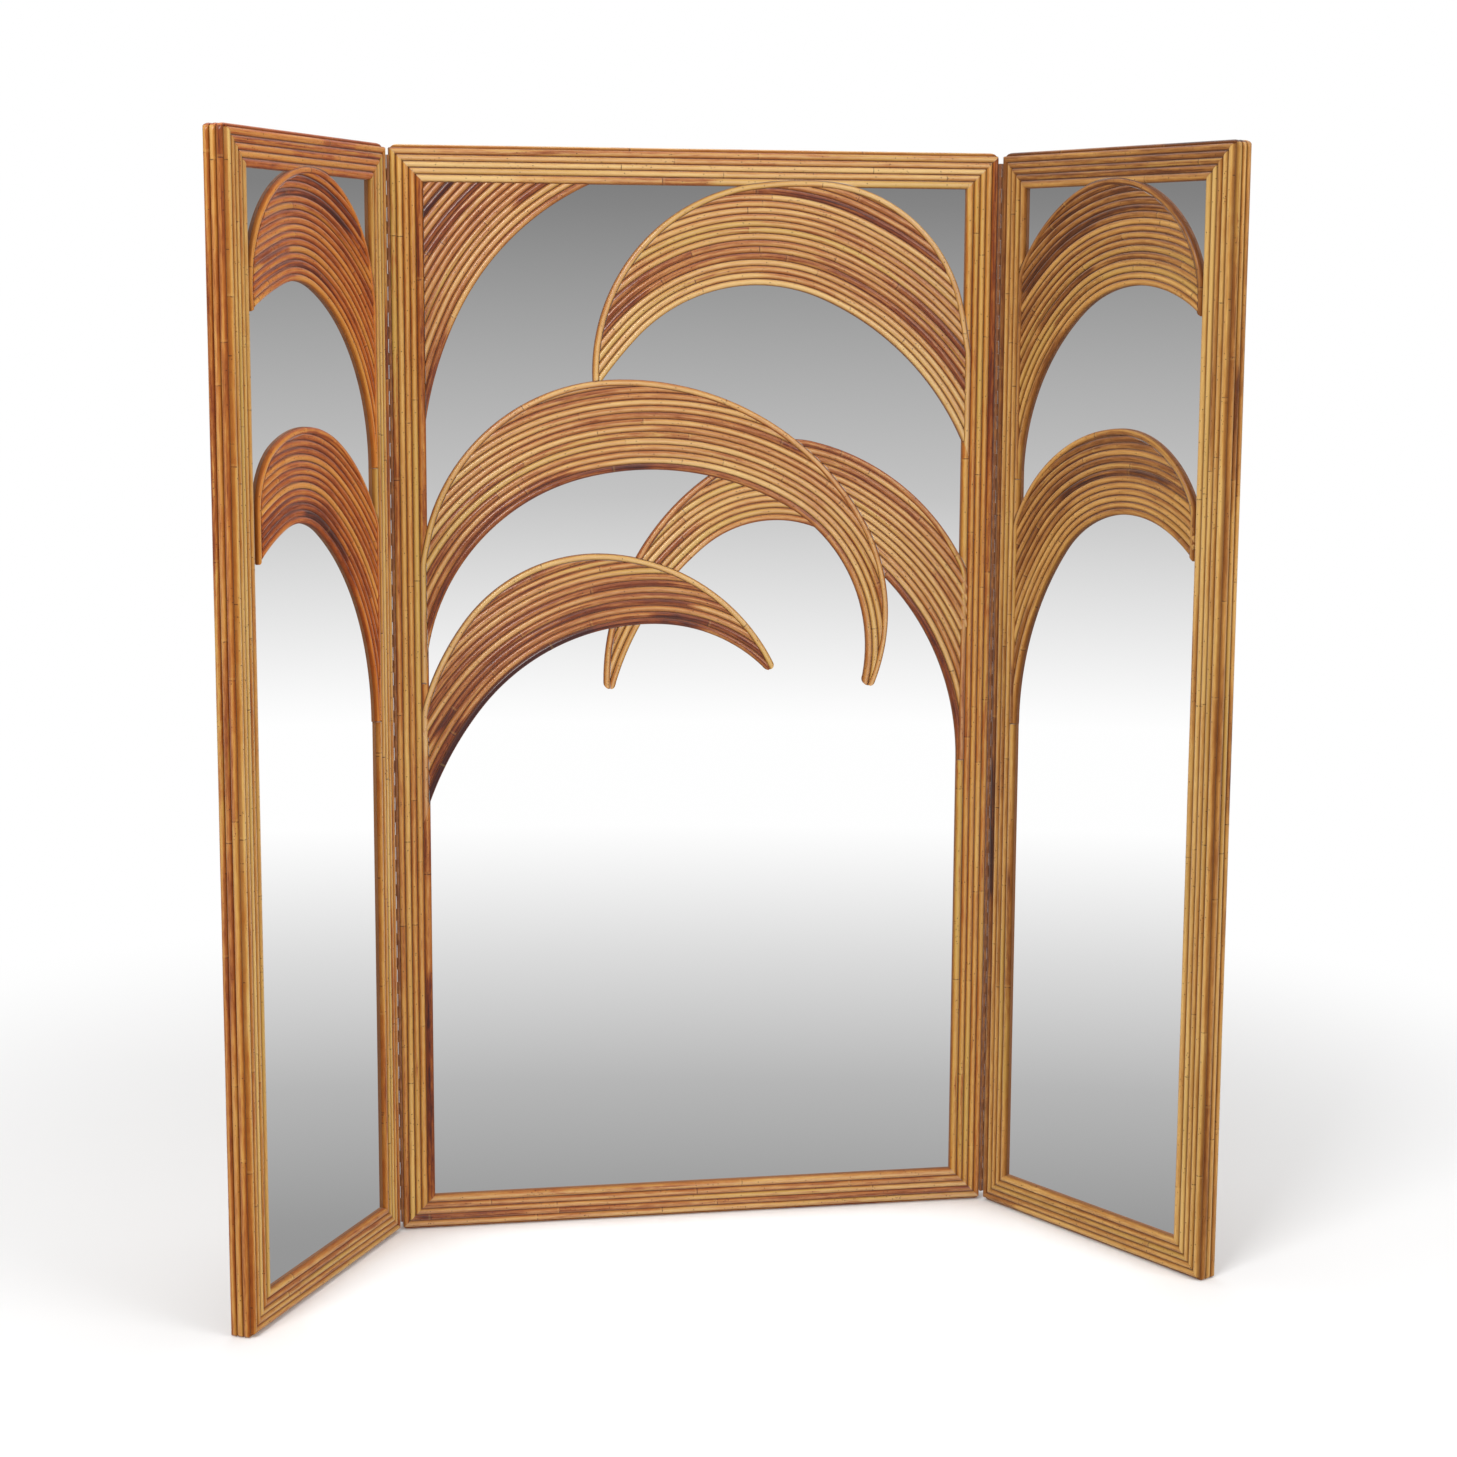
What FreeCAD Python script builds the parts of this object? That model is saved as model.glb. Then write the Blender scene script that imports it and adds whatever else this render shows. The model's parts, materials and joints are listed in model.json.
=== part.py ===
"""Folding mirror screen in millimetres: three cane-clad mirror frames with palm leaves and long hinges.

+Z is up, the front faces -Y, and the origin lies on the floor under the middle of the centre panel.
Each wing is modelled lying in line with the centre panel, with its own zero on the hinge axis, and
its Placement folds it forwards to the angle at which the screen stands.
"""
import FreeCAD
import Part
import itertools
import math
import os
import re
from typing import NamedTuple

Vector = FreeCAD.Vector
Rotation = FreeCAD.Rotation
Placement = FreeCAD.Placement

SIZES = {
    # whole screen: the widths are those of the timber frames
    "overall_height": 1800,
    "centre_width": 1002,
    "wing_width": 493.5,
    "left_fold_angle": 61,
    "right_fold_angle": 61,
    # canes of the frames
    "cane_pitch": 10.8,
    "cane_gap": 0.4,
    "face_cane_count": 5,
    "edge_cane_count": 3,
    "cane_rise": 7.5,
    "edge_rise": 5.5,
    "floor_flat": 0.5,
    # timber: the lip in front of the mirror, the two steps behind it and the tenons
    "lip_thickness": 5.5,
    "mirror_thickness": 4,
    "mirror_lap": 9,
    "glass_clearance": 0.3,
    "board_thickness": 5,
    "board_lap": 18,
    "tenon_length": 30,
    "tenon_height": 22,
    "tenon_thickness": 10,
    "tenon_clearance": 0.1,
    # leaves
    "leaf_pitch": 10.5,
    "leaf_gap": 0.4,
    "leaf_rise": 7.5,
    "leaf_clearance": 0.3,
    # hinges
    "hinge_half_gap": 2,
    "hinge_proud": 0.6,
    "hinge_end_gap": 12,
    "hinge_plate_thickness": 1.2,
    "hinge_plate_width": 22,
    "barrel_diameter": 4.6,
    "hinge_pin_diameter": 2.2,
    "hinge_fit": 0.05,
    "knuckle_count": 85,
    "knuckle_gap": 0.3,
    # screws
    "hinge_screw_count": 12,
    "hinge_screw_diameter": 3.5,
    "hinge_screw_length": 20,
    "hinge_screw_inset": 12,
    "board_screw_diameter": 3,
    "board_screw_head_diameter": 6,
    "board_screw_head_height": 1.8,
    "board_screw_length": 14,
    "board_screw_inset": 4.5,
    "board_screw_high_count": 5,
    "centre_screw_wide_count": 3,
    "wing_screw_wide_count": 2,
    "screw_fit": 0.05,
    # every cut runs this far past the faces that it opens
    "overrun": 5,
}

# formulas that several pieces share
CORE_DEPTH = "(edge_cane_count * cane_pitch)"
BAND = "(face_cane_count * cane_pitch)"
FLOOR_RISE = "(edge_rise - floor_flat)"
CORE_TOP = "(overall_height - edge_rise)"
SIGHT_BOTTOM = f"({FLOOR_RISE} + {BAND})"
SIGHT_TOP = f"({CORE_TOP} - {BAND})"
CANE_RADIUS = "((cane_pitch - cane_gap) / 2)"
AXIS_X = "(centre_width / 2 + hinge_half_gap)"
AXIS_TO_CORE = "(cane_rise + hinge_proud)"
AXIS_Y = f"(-{CORE_DEPTH} / 2 - {AXIS_TO_CORE})"
HINGE_BOTTOM = f"({FLOOR_RISE} + hinge_end_gap)"
HINGE_LENGTH = f"({CORE_TOP} - hinge_end_gap - {HINGE_BOTTOM})"


class Panel(NamedTuple):
    """One panel: the sides and front face of its timber in its own frame, and where that frame stands."""
    name: str
    core_low: str
    core_high: str
    front: str
    stiles: dict
    hinge_sides: tuple
    place: tuple
    wide_count: str

    @property
    def sight_low(self):
        return f"({self.core_low} + {BAND})"

    @property
    def sight_high(self):
        return f"({self.core_high} - {BAND})"

    @property
    def mirror_seat(self):
        return f"({self.front} + lip_thickness)"

    @property
    def board_seat(self):
        return f"({self.mirror_seat} + mirror_thickness + glass_clearance)"


PANELS = {
    "centre": Panel("centre", "-centre_width / 2", "centre_width / 2", f"(-{CORE_DEPTH} / 2)",
                    {"left": "left_stile", "right": "right_stile"}, ("left", "right"),
                    ("0", "0", "0"), "centre_screw_wide_count"),
    "left": Panel("left", "-hinge_half_gap - wing_width", "-hinge_half_gap", AXIS_TO_CORE,
                  {"left": "outer_stile", "right": "hinge_stile"}, ("right",),
                  (f"-{AXIS_X}", AXIS_Y, "left_fold_angle"), "wing_screw_wide_count"),
    "right": Panel("right", "hinge_half_gap", "hinge_half_gap + wing_width", AXIS_TO_CORE,
                   {"left": "hinge_stile", "right": "outer_stile"}, ("left",),
                   (AXIS_X, AXIS_Y, "-right_fold_angle"), "wing_screw_wide_count"),
}


class Edge(NamedTuple):
    """One edge of a leaf, in shares of the mirror's visible width: a top arc and a side arc each way.

    across_share runs from the near sight line and down_share from the top sight line, both to the apex.
    Each side has the angle from the apex at which its arc takes over, that arc's radius share and its
    last angle.
    """
    across_share: float
    down_share: float
    top_share: float
    near_turn: float
    near_share: float
    near_end: float
    far_turn: float
    far_share: float
    far_end: float


class Leaf(NamedTuple):
    """A leaf: its panel, both edges, how each end closes (stile, tip or hidden), the leaves before it."""
    panel: str
    outer: Edge
    inner: Edge
    near_close: str
    far_close: str
    behind: tuple = ()


# near is the left side on the centre panel and the hinge side on the wings
LEAF_SHARES = {
    "corner_fan": Leaf("centre", None,
                       Edge(0.505, -0.045, 0.495, 63, 0.655, 90, 0, 0.495, 0), "stile", "stile"),
    "high_leaf": Leaf("centre",
                      Edge(0.695, -0.012, 0.68, 8, 0.345, 98, 3, 0.29, 80),
                      Edge(0.61, 0.178, 0.31, 47, 0.79, 55, 23, 0.52, 85), "hidden", "stile",
                      ("broad_leaf",)),
    "broad_leaf": Leaf("centre",
                       Edge(0.36, 0.35, 0.525, 3, 0.365, 78, 60, 0.355, 111),
                       Edge(0.41, 0.515, 0.51, 14, 0.385, 90, 30, 0.31, 100), "stile", "tip"),
    "far_leaf": Leaf("centre",
                     Edge(0.68, 0.46, 0.15, 20, 0.465, 90.5, 13, 0.44, 80),
                     Edge(0.645, 0.61, 0.21, 40, 0.52, 73.5, 30, 0.5, 90), "tip", "stile",
                     ("broad_leaf", "low_leaf")),
    "low_leaf": Leaf("centre",
                     Edge(0.31, 0.669, 0.305, 54, 0.5, 80, 4, 0.378, 63),
                     Edge(0.41, 0.801, 0.4, 52, 0.63, 82, 3, 0.3, 44), "stile", "tip"),
    "left_upper_leaf": Leaf("left",
                            Edge(0.51, -0.027, 0.515, 30, 0.555, 78, 36, 0.455, 100),
                            Edge(0.63, 0.415, 0.36, 22, 0.79, 90, 15, 1.27, 31), "stile", "stile"),
    "left_lower_leaf": Leaf("left",
                            Edge(0.575, 0.98, 0.56, 29, 0.8, 60, 26, 0.275, 90),
                            Edge(0.645, 1.355, 0.33, 32, 0.98, 90, 20, 0.84, 36), "stile", "stile"),
    "right_upper_leaf": Leaf("right",
                             Edge(0.505, -0.027, 0.485, 31, 0.75, 62, 32, 0.53, 92),
                             Edge(0.655, 0.41, 0.5, 39, 0.92, 90, 3, 0.54, 42), "stile", "stile"),
    "right_lower_leaf": Leaf("right",
                             Edge(0.585, 0.995, 0.41, 3, 0.675, 64, 32, 0.485, 90),
                             Edge(0.63, 1.35, 0.455, 52, 1.27, 90, 24, 0.59, 45), "stile", "stile"),
}
# angles in degrees: how far a cane's line is drawn past the end of its edge, and angles that count as one
TIP_TURN = 8
SAME_TURN = 0.05
# a cane is cut square where less than this share of its pitch would be left of its width
SPLINTER_SHARE = 0.35

doc = FreeCAD.newDocument("MirrorScreen")
sheet = doc.addObject("Spreadsheet::Sheet", "Sizes")
for row, (alias, value) in enumerate(SIZES.items(), start=1):
    sheet.set(f"A{row}", alias)
    sheet.set(f"B{row}", str(value))
    sheet.setAlias(f"B{row}", alias)
doc.recompute()
parts = []


def reference(word):
    """A word of a formula, as a reference to the sheet where it names a size."""
    return f"Sizes.{word.group()}" if word.group() in SIZES else word.group()


def linked(formula):
    """The formula with its sizes as references to the sheet."""
    return re.sub(r"[a-z][a-z_]*", reference, formula)


def size(formula):
    """Value of a formula in the named sizes, for the shapes that are worked out in code."""
    return float(sheet.evalExpression(linked(formula)))


def add(kind, name, **formulas):
    """Adds an object and binds its properties to formulas in the named sizes."""
    item = doc.addObject(kind, name)
    for prop, formula in formulas.items():
        item.setExpression(prop, linked(formula))
    return item


def stand(item, x, y, z, rotation=None):
    """Places an object at a point given by three formulas."""
    if rotation:
        item.Placement = Placement(Vector(), rotation)
    for axis, formula in zip("xyz", (x, y, z)):
        item.setExpression(f"Placement.Base.{axis}", linked(formula))
    return item


def box(name, low, high):
    """Block between two corners given by formulas."""
    spans = [f"({top}) - ({bottom})" for bottom, top in zip(low, high)]
    item = add("Part::Box", name, Length=spans[0], Width=spans[1], Height=spans[2])
    return stand(item, *low)


def compound(name, items):
    """Group of separate solids."""
    group = doc.addObject("Part::Compound", name)
    group.Links = list(items)
    return group


def boolean(kind, name, base, tool):
    """Cut or common part of two objects."""
    item = doc.addObject(kind, name)
    item.Base = base
    item.Tool = tool
    return item


def fused(name, items):
    """One solid out of several that meet."""
    item = doc.addObject("Part::MultiFuse", name)
    item.Shapes = list(items)
    item.Refine = True
    return item


def shaped(name, shape):
    """Object whose shape is worked out in code from the named sizes."""
    item = doc.addObject("Part::Feature", name)
    item.Shape = shape
    return item


def finish(item, label, panel):
    """Names a sub-part and stands it in its panel's place, folded as the panel is."""
    x, y, angle = panel.place
    item.Label = label
    stand(item, x, y, "0", Rotation(Vector(0, 0, 1), size(angle)))
    item.setExpression("Placement.Rotation.Angle", linked(angle))
    parts.append(item)


def scattered(name, pattern, places):
    """Copies of one object's shape at each place, as separate solids."""
    doc.recompute()
    return shaped(name, Part.makeCompound([pattern.Shape.copy().transformed(p.toMatrix()) for p in places]))


def countersunk(name, spare):
    """Countersunk hinge screw along Z, its face at zero, or the room for it with a clearance as spare."""
    head = add("Part::Cone", f"{name}_head",
               Radius1=f"hinge_screw_diameter / 2 + {spare}",
               Radius2=f"hinge_screw_diameter / 2 + hinge_plate_thickness + {spare}",
               Height="hinge_plate_thickness")
    stand(head, "0", "0", "-hinge_plate_thickness")
    shank = add("Part::Cylinder", f"{name}_shank", Radius=f"hinge_screw_diameter / 2 + {spare}",
                Height=f"hinge_screw_length - hinge_plate_thickness + {spare}")
    stand(shank, "0", "0", f"-hinge_screw_length - {spare}")
    return fused(name, [head, shank])


def round_head(name):
    """Round-headed board screw along Z, with its head standing on zero."""
    head = add("Part::Cylinder", f"{name}_head", Radius="board_screw_head_diameter / 2",
               Height="board_screw_head_height")
    shank = add("Part::Cylinder", f"{name}_shank", Radius="board_screw_diameter / 2",
                Height="board_screw_length")
    stand(shank, "0", "0", "-board_screw_length")
    return fused(name, [head, shank])


hinge_screw = countersunk("hinge_screw", "0")
hinge_screw_room = countersunk("hinge_screw_room", "screw_fit")
board_screw = round_head("board_screw")
board_screw_room = add("Part::Cylinder", "board_screw_room", Radius="board_screw_diameter / 2 + screw_fit",
                       Height="board_screw_length + 2 * screw_fit")
stand(board_screw_room, "0", "0", "-board_screw_length - screw_fit")


def board_screw_places(panel):
    """Places of a back board's screws: up both stiles and along both rails, in the middle of the ledge."""
    edge = size("board_lap - board_screw_inset")
    left = size(panel.sight_low) - edge
    right = size(panel.sight_high) + edge
    bottom = size(SIGHT_BOTTOM) - edge
    top = size(SIGHT_TOP) + edge
    high = int(size("board_screw_high_count"))
    wide = int(size(panel.wide_count))
    spots = [(x, bottom + (top - bottom) * k / (high - 1)) for x in (left, right) for k in range(high)]
    spots += [(left + (right - left) * k / (wide + 1), z) for z in (bottom, top) for k in range(1, wide + 1)]
    back = size(f"{panel.board_seat} + board_thickness")
    turn = Rotation(Vector(0, 0, 1), Vector(0, 1, 0))
    return [Placement(Vector(x, back, z), turn) for x, z in spots]


def hinge_screw_places(sign):
    """Places of one hinge plate's screws, with the axis at zero and the plate on the given side of it."""
    face = sign * size("hinge_half_gap - hinge_plate_thickness")
    depth = size(f"{AXIS_TO_CORE} + hinge_screw_inset")
    count = int(size("hinge_screw_count"))
    step = size(HINGE_LENGTH) / count
    turn = Rotation(Vector(0, 0, 1), Vector(-sign, 0, 0))
    bottom = size(HINGE_BOTTOM)
    return [Placement(Vector(face, depth, bottom + (k + 0.5) * step), turn) for k in range(count)]


def hinge_leaf(name, sign, first):
    """One leaf of a hinge about its axis: a plate with every second knuckle, the first left out as told."""
    inner = "hinge_half_gap - hinge_plate_thickness"
    sides = (inner, "hinge_half_gap") if sign > 0 else ("-hinge_half_gap", f"-({inner})")
    top = f"{HINGE_BOTTOM} + {HINGE_LENGTH}"
    plate = box(f"{name}_plate", (sides[0], "0", HINGE_BOTTOM),
                (sides[1], f"{AXIS_TO_CORE} + hinge_plate_width", top))
    barrel = add("Part::Cylinder", f"{name}_barrel", Radius="barrel_diameter / 2", Height=HINGE_LENGTH)
    stand(barrel, "0", "0", HINGE_BOTTOM)
    blank = fused(f"{name}_blank", [plate, barrel])
    bore = add("Part::Cylinder", f"{name}_bore", Radius="hinge_pin_diameter / 2 + hinge_fit",
               Height=f"{HINGE_LENGTH} + 2 * overrun")
    stand(bore, "0", "0", f"{HINGE_BOTTOM} - overrun")
    pitch = f"({HINGE_LENGTH} / knuckle_count)"
    reach = "barrel_diameter / 2 + knuckle_gap"
    gaps = []
    for k in range(first, int(size("knuckle_count")), 2):
        gaps.append(box(f"{name}_gap_{k}",
                        (f"-({reach})", f"-({reach})", f"{HINGE_BOTTOM} + {k} * {pitch} - knuckle_gap / 2"),
                        (reach, reach, f"{HINGE_BOTTOM} + {k + 1} * {pitch} + knuckle_gap / 2")))
    holes = scattered(f"{name}_holes", hinge_screw_room, hinge_screw_places(sign))
    return boolean("Part::Cut", name, blank, compound(f"{name}_cuts", gaps + [bore, holes]))


def hinge_screw_holes(panel, side):
    """Room for the hinge screws in the stile on one side of a panel."""
    sign = -1 if side == "right" else 1
    holes = scattered(f"{panel.name}_{side}_screw_holes", hinge_screw_room, hinge_screw_places(sign))
    if panel.name == "centre":
        stand(holes, AXIS_X if side == "right" else f"-{AXIS_X}", AXIS_Y, "0")
    return holes


def timber_frame(panel):
    """Two stiles and two tenoned rails, with stepped rebates for the mirror and its back board."""
    back = f"{panel.front} + {CORE_DEPTH}"
    low, high = panel.sight_low, panel.sight_high
    rebates = []
    for seat, lap in ((panel.mirror_seat, "mirror_lap"), (panel.board_seat, "board_lap")):
        rebates.append(box(f"{panel.name}_{lap}_room", (f"{low} - {lap}", seat, f"{SIGHT_BOTTOM} - {lap}"),
                           (f"{high} + {lap}", f"{back} + overrun", f"{SIGHT_TOP} + {lap}")))
    places = board_screw_places(panel)
    rebates.append(scattered(f"{panel.name}_board_screw_holes", board_screw_room, places))

    middle = f"({panel.front} + {CORE_DEPTH} / 2)"
    tenon_low = f"({BAND} / 2 + board_lap / 2 - tenon_height / 2)"
    mortises = {"left": [], "right": []}
    for rail, bottom, top, start in (("top_rail", SIGHT_TOP, CORE_TOP, f"{SIGHT_TOP} + {tenon_low}"),
                                     ("bottom_rail", FLOOR_RISE, SIGHT_BOTTOM,
                                      f"{SIGHT_BOTTOM} - {tenon_low} - tenon_height")):
        name = f"{panel.name}_{rail}"
        body = box(f"{name}_body", (low, panel.front, bottom), (high, back, top))
        tenon = box(f"{name}_tenon", (f"{low} - tenon_length", f"{middle} - tenon_thickness / 2", start),
                    (f"{high} + tenon_length", f"{middle} + tenon_thickness / 2", f"{start} + tenon_height"))
        whole = fused(f"{name}_whole", [body, tenon])
        finish(boolean("Part::Cut", name, whole, compound(f"{name}_cuts", rebates)), name, panel)
        wide = "tenon_length + tenon_clearance"
        for side, x_low, x_high in (("left", f"{low} - ({wide})", f"{low} + overrun"),
                                    ("right", f"{high} - overrun", f"{high} + {wide}")):
            mortises[side].append(box(
                f"{name}_{side}_mortise",
                (x_low, f"{middle} - tenon_thickness / 2 - tenon_clearance", f"{start} - tenon_clearance"),
                (x_high, f"{middle} + tenon_thickness / 2 + tenon_clearance",
                 f"{start} + tenon_height + tenon_clearance")))

    for side, x_low, x_high in (("left", panel.core_low, low), ("right", high, panel.core_high)):
        name = f"{panel.name}_{panel.stiles[side]}"
        body = box(f"{name}_body", (x_low, panel.front, FLOOR_RISE), (x_high, back, CORE_TOP))
        cuts = rebates + mortises[side]
        if side in panel.hinge_sides:
            cuts.append(hinge_screw_holes(panel, side))
        finish(boolean("Part::Cut", name, body, compound(f"{name}_cuts", cuts)), name, panel)

    slack = "glass_clearance"
    glass = box(f"{panel.name}_glass",
                 (f"{low} - mirror_lap + {slack}", panel.mirror_seat,
                  f"{SIGHT_BOTTOM} - mirror_lap + {slack}"),
                 (f"{high} + mirror_lap - {slack}", f"{panel.mirror_seat} + mirror_thickness",
                  f"{SIGHT_TOP} + mirror_lap - {slack}"))
    finish(compound(f"{panel.name}_mirror", [glass]), f"{panel.name}_mirror", panel)
    sheet_board = box(f"{panel.name}_board_sheet",
                      (f"{low} - board_lap + {slack}", panel.board_seat,
                       f"{SIGHT_BOTTOM} - board_lap + {slack}"),
                      (f"{high} + board_lap - {slack}", f"{panel.board_seat} + board_thickness",
                       f"{SIGHT_TOP} + board_lap - {slack}"))
    board_name = f"{panel.name}_back_board"
    finish(boolean("Part::Cut", board_name, sheet_board, rebates[-1]), board_name, panel)
    screws_name = f"{panel.name}_back_screws"
    finish(scattered(screws_name, board_screw, places), screws_name, panel)


def cane_rods(name, half_run, count, across, height):
    """Straight rods along X, one for each cane, at the formulas for their places across and up."""
    rods = []
    for k in range(count):
        rod = add("Part::Cylinder", f"{name}_{k}", Radius=CANE_RADIUS, Height=f"2 * ({half_run})")
        stand(rod, f"-({half_run})", across(k), height(k), Rotation(Vector(0, 1, 0), 90))
        rods.append(rod)
    return compound(name, rods)


def mitre_block(name, half_run, low, high, ends, depth):
    """Block with slanted ends: Y goes outwards from low to high, where both ends have grown."""
    item = add("Part::Wedge", name, Ymin=low, Ymax=high, Xmin=f"-({half_run})", Xmax=half_run,
               X2min=f"-({half_run} + {ends[0]})", X2max=f"{half_run} + {ends[1]}",
               Zmin=depth[0], Zmax=depth[1], Z2min=depth[0], Z2max=depth[1])
    return item


def frame_canes(panel, notches):
    """Face and edge canes on the four sides, flat on the timber and mitred, cut back under the leaves.

    A side is drawn with X along it, Y outwards from the sight line and Z towards the front, then turned
    into place.
    """
    middle_x = f"({panel.core_low} + {panel.core_high}) / 2"
    middle_z = f"({SIGHT_BOTTOM} + {SIGHT_TOP}) / 2"
    half_wide = f"({panel.sight_high} - {panel.sight_low}) / 2"
    half_high = f"({SIGHT_TOP} - {SIGHT_BOTTOM}) / 2"
    rise = {"top": "edge_rise", "bottom": FLOOR_RISE}
    for side in panel.stiles:
        rise[side] = "0" if side in panel.hinge_sides else "edge_rise"
    sides = (("top", "top_rail", 0, (middle_x, SIGHT_TOP), half_wide, ("left", "right")),
             ("right", panel.stiles["right"], 90, (panel.sight_high, middle_z), half_high,
              ("top", "bottom")),
             ("bottom", "bottom_rail", 180, (middle_x, SIGHT_BOTTOM), half_wide, ("right", "left")),
             ("left", panel.stiles["left"], 270, (panel.sight_low, middle_z), half_high, ("bottom", "top")))
    face_count = int(size("face_cane_count"))
    edge_count = int(size("edge_cane_count"))
    for side, member, turn, (x, z), half_run, ends in sides:
        name = f"{panel.name}_{member}_canes"
        rods = cane_rods(f"{name}_face_rods", f"{half_run} + {BAND}", face_count,
                         lambda k: f"({k} + 0.5) * cane_pitch", lambda k: f"cane_rise - {CANE_RADIUS}")
        block = mitre_block(f"{name}_face_block", half_run, "0", BAND, (BAND, BAND), ("0", "cane_rise"))
        groups = [boolean("Part::Common", f"{name}_face", rods, block)]
        if rise[side] != "0":
            rods = cane_rods(f"{name}_edge_rods", f"{half_run} + {BAND} + edge_rise", edge_count,
                             lambda k: f"{BAND} + edge_rise - {CANE_RADIUS}",
                             lambda k: f"-({k} + 0.5) * cane_pitch")
            block = mitre_block(f"{name}_edge_block", f"({half_run} + {BAND})",
                                BAND, f"{BAND} + {rise[side]}",
                                [rise[end] for end in ends], (f"-{CORE_DEPTH}", "0"))
            groups.append(boolean("Part::Common", f"{name}_edge", rods, block))
        whole = compound(f"{name}_whole", groups)
        upright = Rotation(Vector(0, 1, 0), turn).multiply(Rotation(Vector(1, 0, 0), 90))
        stand(whole, x, panel.front, z, upright)
        finish(boolean("Part::Cut", name, whole, notches), name, panel)


class LeafMaker:
    """Works out the shapes of one leaf on its panel's front face."""

    def __init__(self, leaf):
        panel = PANELS[leaf.panel]
        self.leaf = leaf
        self.low = size(panel.sight_low)
        self.high = size(panel.sight_high)
        self.width = self.high - self.low
        self.bottom = size(SIGHT_BOTTOM)
        self.top = size(SIGHT_TOP)
        self.front = size(panel.front)
        self.pitch = size("leaf_pitch")
        self.radius = size("leaf_pitch - leaf_gap") / 2
        self.rise = size("leaf_rise")
        self.mirrored = leaf.panel == "left"

    def point(self, across, height, forward=0.0):
        """Point on the panel, from the near sight line, the top sight line and the timber's front face."""
        x = self.high - across if self.mirrored else self.low + across
        return Vector(x, self.front - forward, self.top + height)

    def arcs(self, edge, offset, extra=0.0):
        """The edge's tangent arcs from near to far, moved outwards by the offset: centre, radius, angles."""
        top = edge.top_share * self.width
        across = edge.across_share * self.width
        height = -edge.down_share * self.width - top
        chain = []
        near = (-1, edge.near_turn, edge.near_share, -edge.near_end - extra, -edge.near_turn)
        far = (1, edge.far_turn, edge.far_share, edge.far_turn, edge.far_end + extra)
        for sign, turn, share, start, end in (near, far):
            radius = share * self.width
            lean = math.radians(sign * turn)
            shift = top - radius
            centre = (across + shift * math.sin(lean), height + shift * math.cos(lean))
            chain.append((centre, radius + offset, start, end))
        chain.insert(1, ((across, height), top + offset, -edge.near_turn, edge.far_turn))
        return [arc for arc in chain if arc[3] > arc[2]]

    def on_arc(self, arc, angle):
        """Point of an arc at an angle from straight up."""
        (across, height), radius = arc[0], arc[1]
        lean = math.radians(angle)
        return self.point(across + radius * math.sin(lean), height + radius * math.cos(lean))

    def curve(self, chain):
        """Edges along a chain of arcs."""
        ways = [(a, (a[2], (a[2] + a[3]) / 2, a[3])) for a in chain]
        return [Part.Arc(*(self.on_arc(a, angle) for angle in way)).toShape() for a, way in ways]

    def closing(self, how, start, end, side, heading):
        """Edges that close the outline at one end: round a tip, off past the stile, or straight across."""
        if how == "tip":
            bulge = heading * (start.distanceToPoint(end) / 2)
            return [Part.Arc(start, (start + end) / 2 + bulge, end).toShape()]
        if how == "hidden":
            return [Part.makeLine(start, end)]
        beyond = self.width + 3 * self.pitch if side == "far" else -3 * self.pitch
        x = self.point(beyond, 0).x
        corners = [start, Vector(x, start.y, start.z), Vector(x, end.y, end.z), end]
        pairs = list(zip(corners, corners[1:]))
        return [Part.makeLine(a, b) for a, b in pairs if a.distanceToPoint(b) > self.radius]

    def heading(self, arc, angle, sign):
        """Unit vector along an arc at an angle, towards the far end or, with sign -1, the near end."""
        step = self.on_arc(arc, angle + sign) - self.on_arc(arc, angle)
        return step.normalize()

    def outline(self):
        """Closed face of the whole leaf."""
        inner = self.arcs(self.leaf.inner, 0.0)
        inner_near = self.on_arc(inner[0], inner[0][2])
        inner_far = self.on_arc(inner[-1], inner[-1][3])
        if self.leaf.outer is None:
            edges = self.curve(inner) + self.closing("stile", inner_far, inner_near, "near", None)
        else:
            outer = self.arcs(self.leaf.outer, 0.0)
            outer_near = self.on_arc(outer[0], outer[0][2])
            outer_far = self.on_arc(outer[-1], outer[-1][3])
            edges = self.curve(outer)
            edges += self.closing(self.leaf.far_close, outer_far, inner_far, "far",
                                  self.heading(outer[-1], outer[-1][3], 1))
            edges += self.curve(inner)
            edges += self.closing(self.leaf.near_close, inner_near, outer_near, "near",
                                  self.heading(outer[0], outer[0][2], -1))
        return Part.Face(Part.Wire(Part.__sortEdges__(edges)))

    def block(self, face, forward, back):
        """Solid between two distances from the timber's front face."""
        face.translate(Vector(0, -forward, 0))
        return face.extrude(Vector(0, forward + back, 0))

    def slab(self, across, height, forward, back):
        """Block over a range across and of heights, between two distances from the timber's front face."""
        corner = self.point(across[0], height[1], forward)
        other = self.point(across[1], height[0], -back)
        low = Vector(min(corner.x, other.x), corner.y, other.z)
        high = Vector(max(corner.x, other.x), other.y, corner.z)
        return Part.makeBox(high.x - low.x, high.y - low.y, high.z - low.z, low)

    def level(self, edge, across, sign):
        """Height at which an edge crosses an upright line on its near (-1) or far (1) side, or else ends."""
        (middle, height), radius, start, end = self.arcs(edge, 0.0)[0 if sign < 0 else -1]
        last = -start if sign < 0 else end
        reach = sign * (across - middle) / radius
        turn = min(last, math.degrees(math.asin(min(reach, 1))))
        return height + radius * math.cos(math.radians(turn))

    def crossings(self, edge, height):
        """Distances across at which an edge crosses a level line, from near to far."""
        found = []
        for (middle, level), radius, start, end in self.arcs(edge, 0.0):
            reach = (height - level) / radius
            if abs(reach) < 1:
                turn = math.degrees(math.acos(reach))
                turns = [a for a in (-turn, turn) if start <= a <= end]
                found += [middle + radius * math.sin(math.radians(a)) for a in turns]
        return sorted(found)

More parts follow.
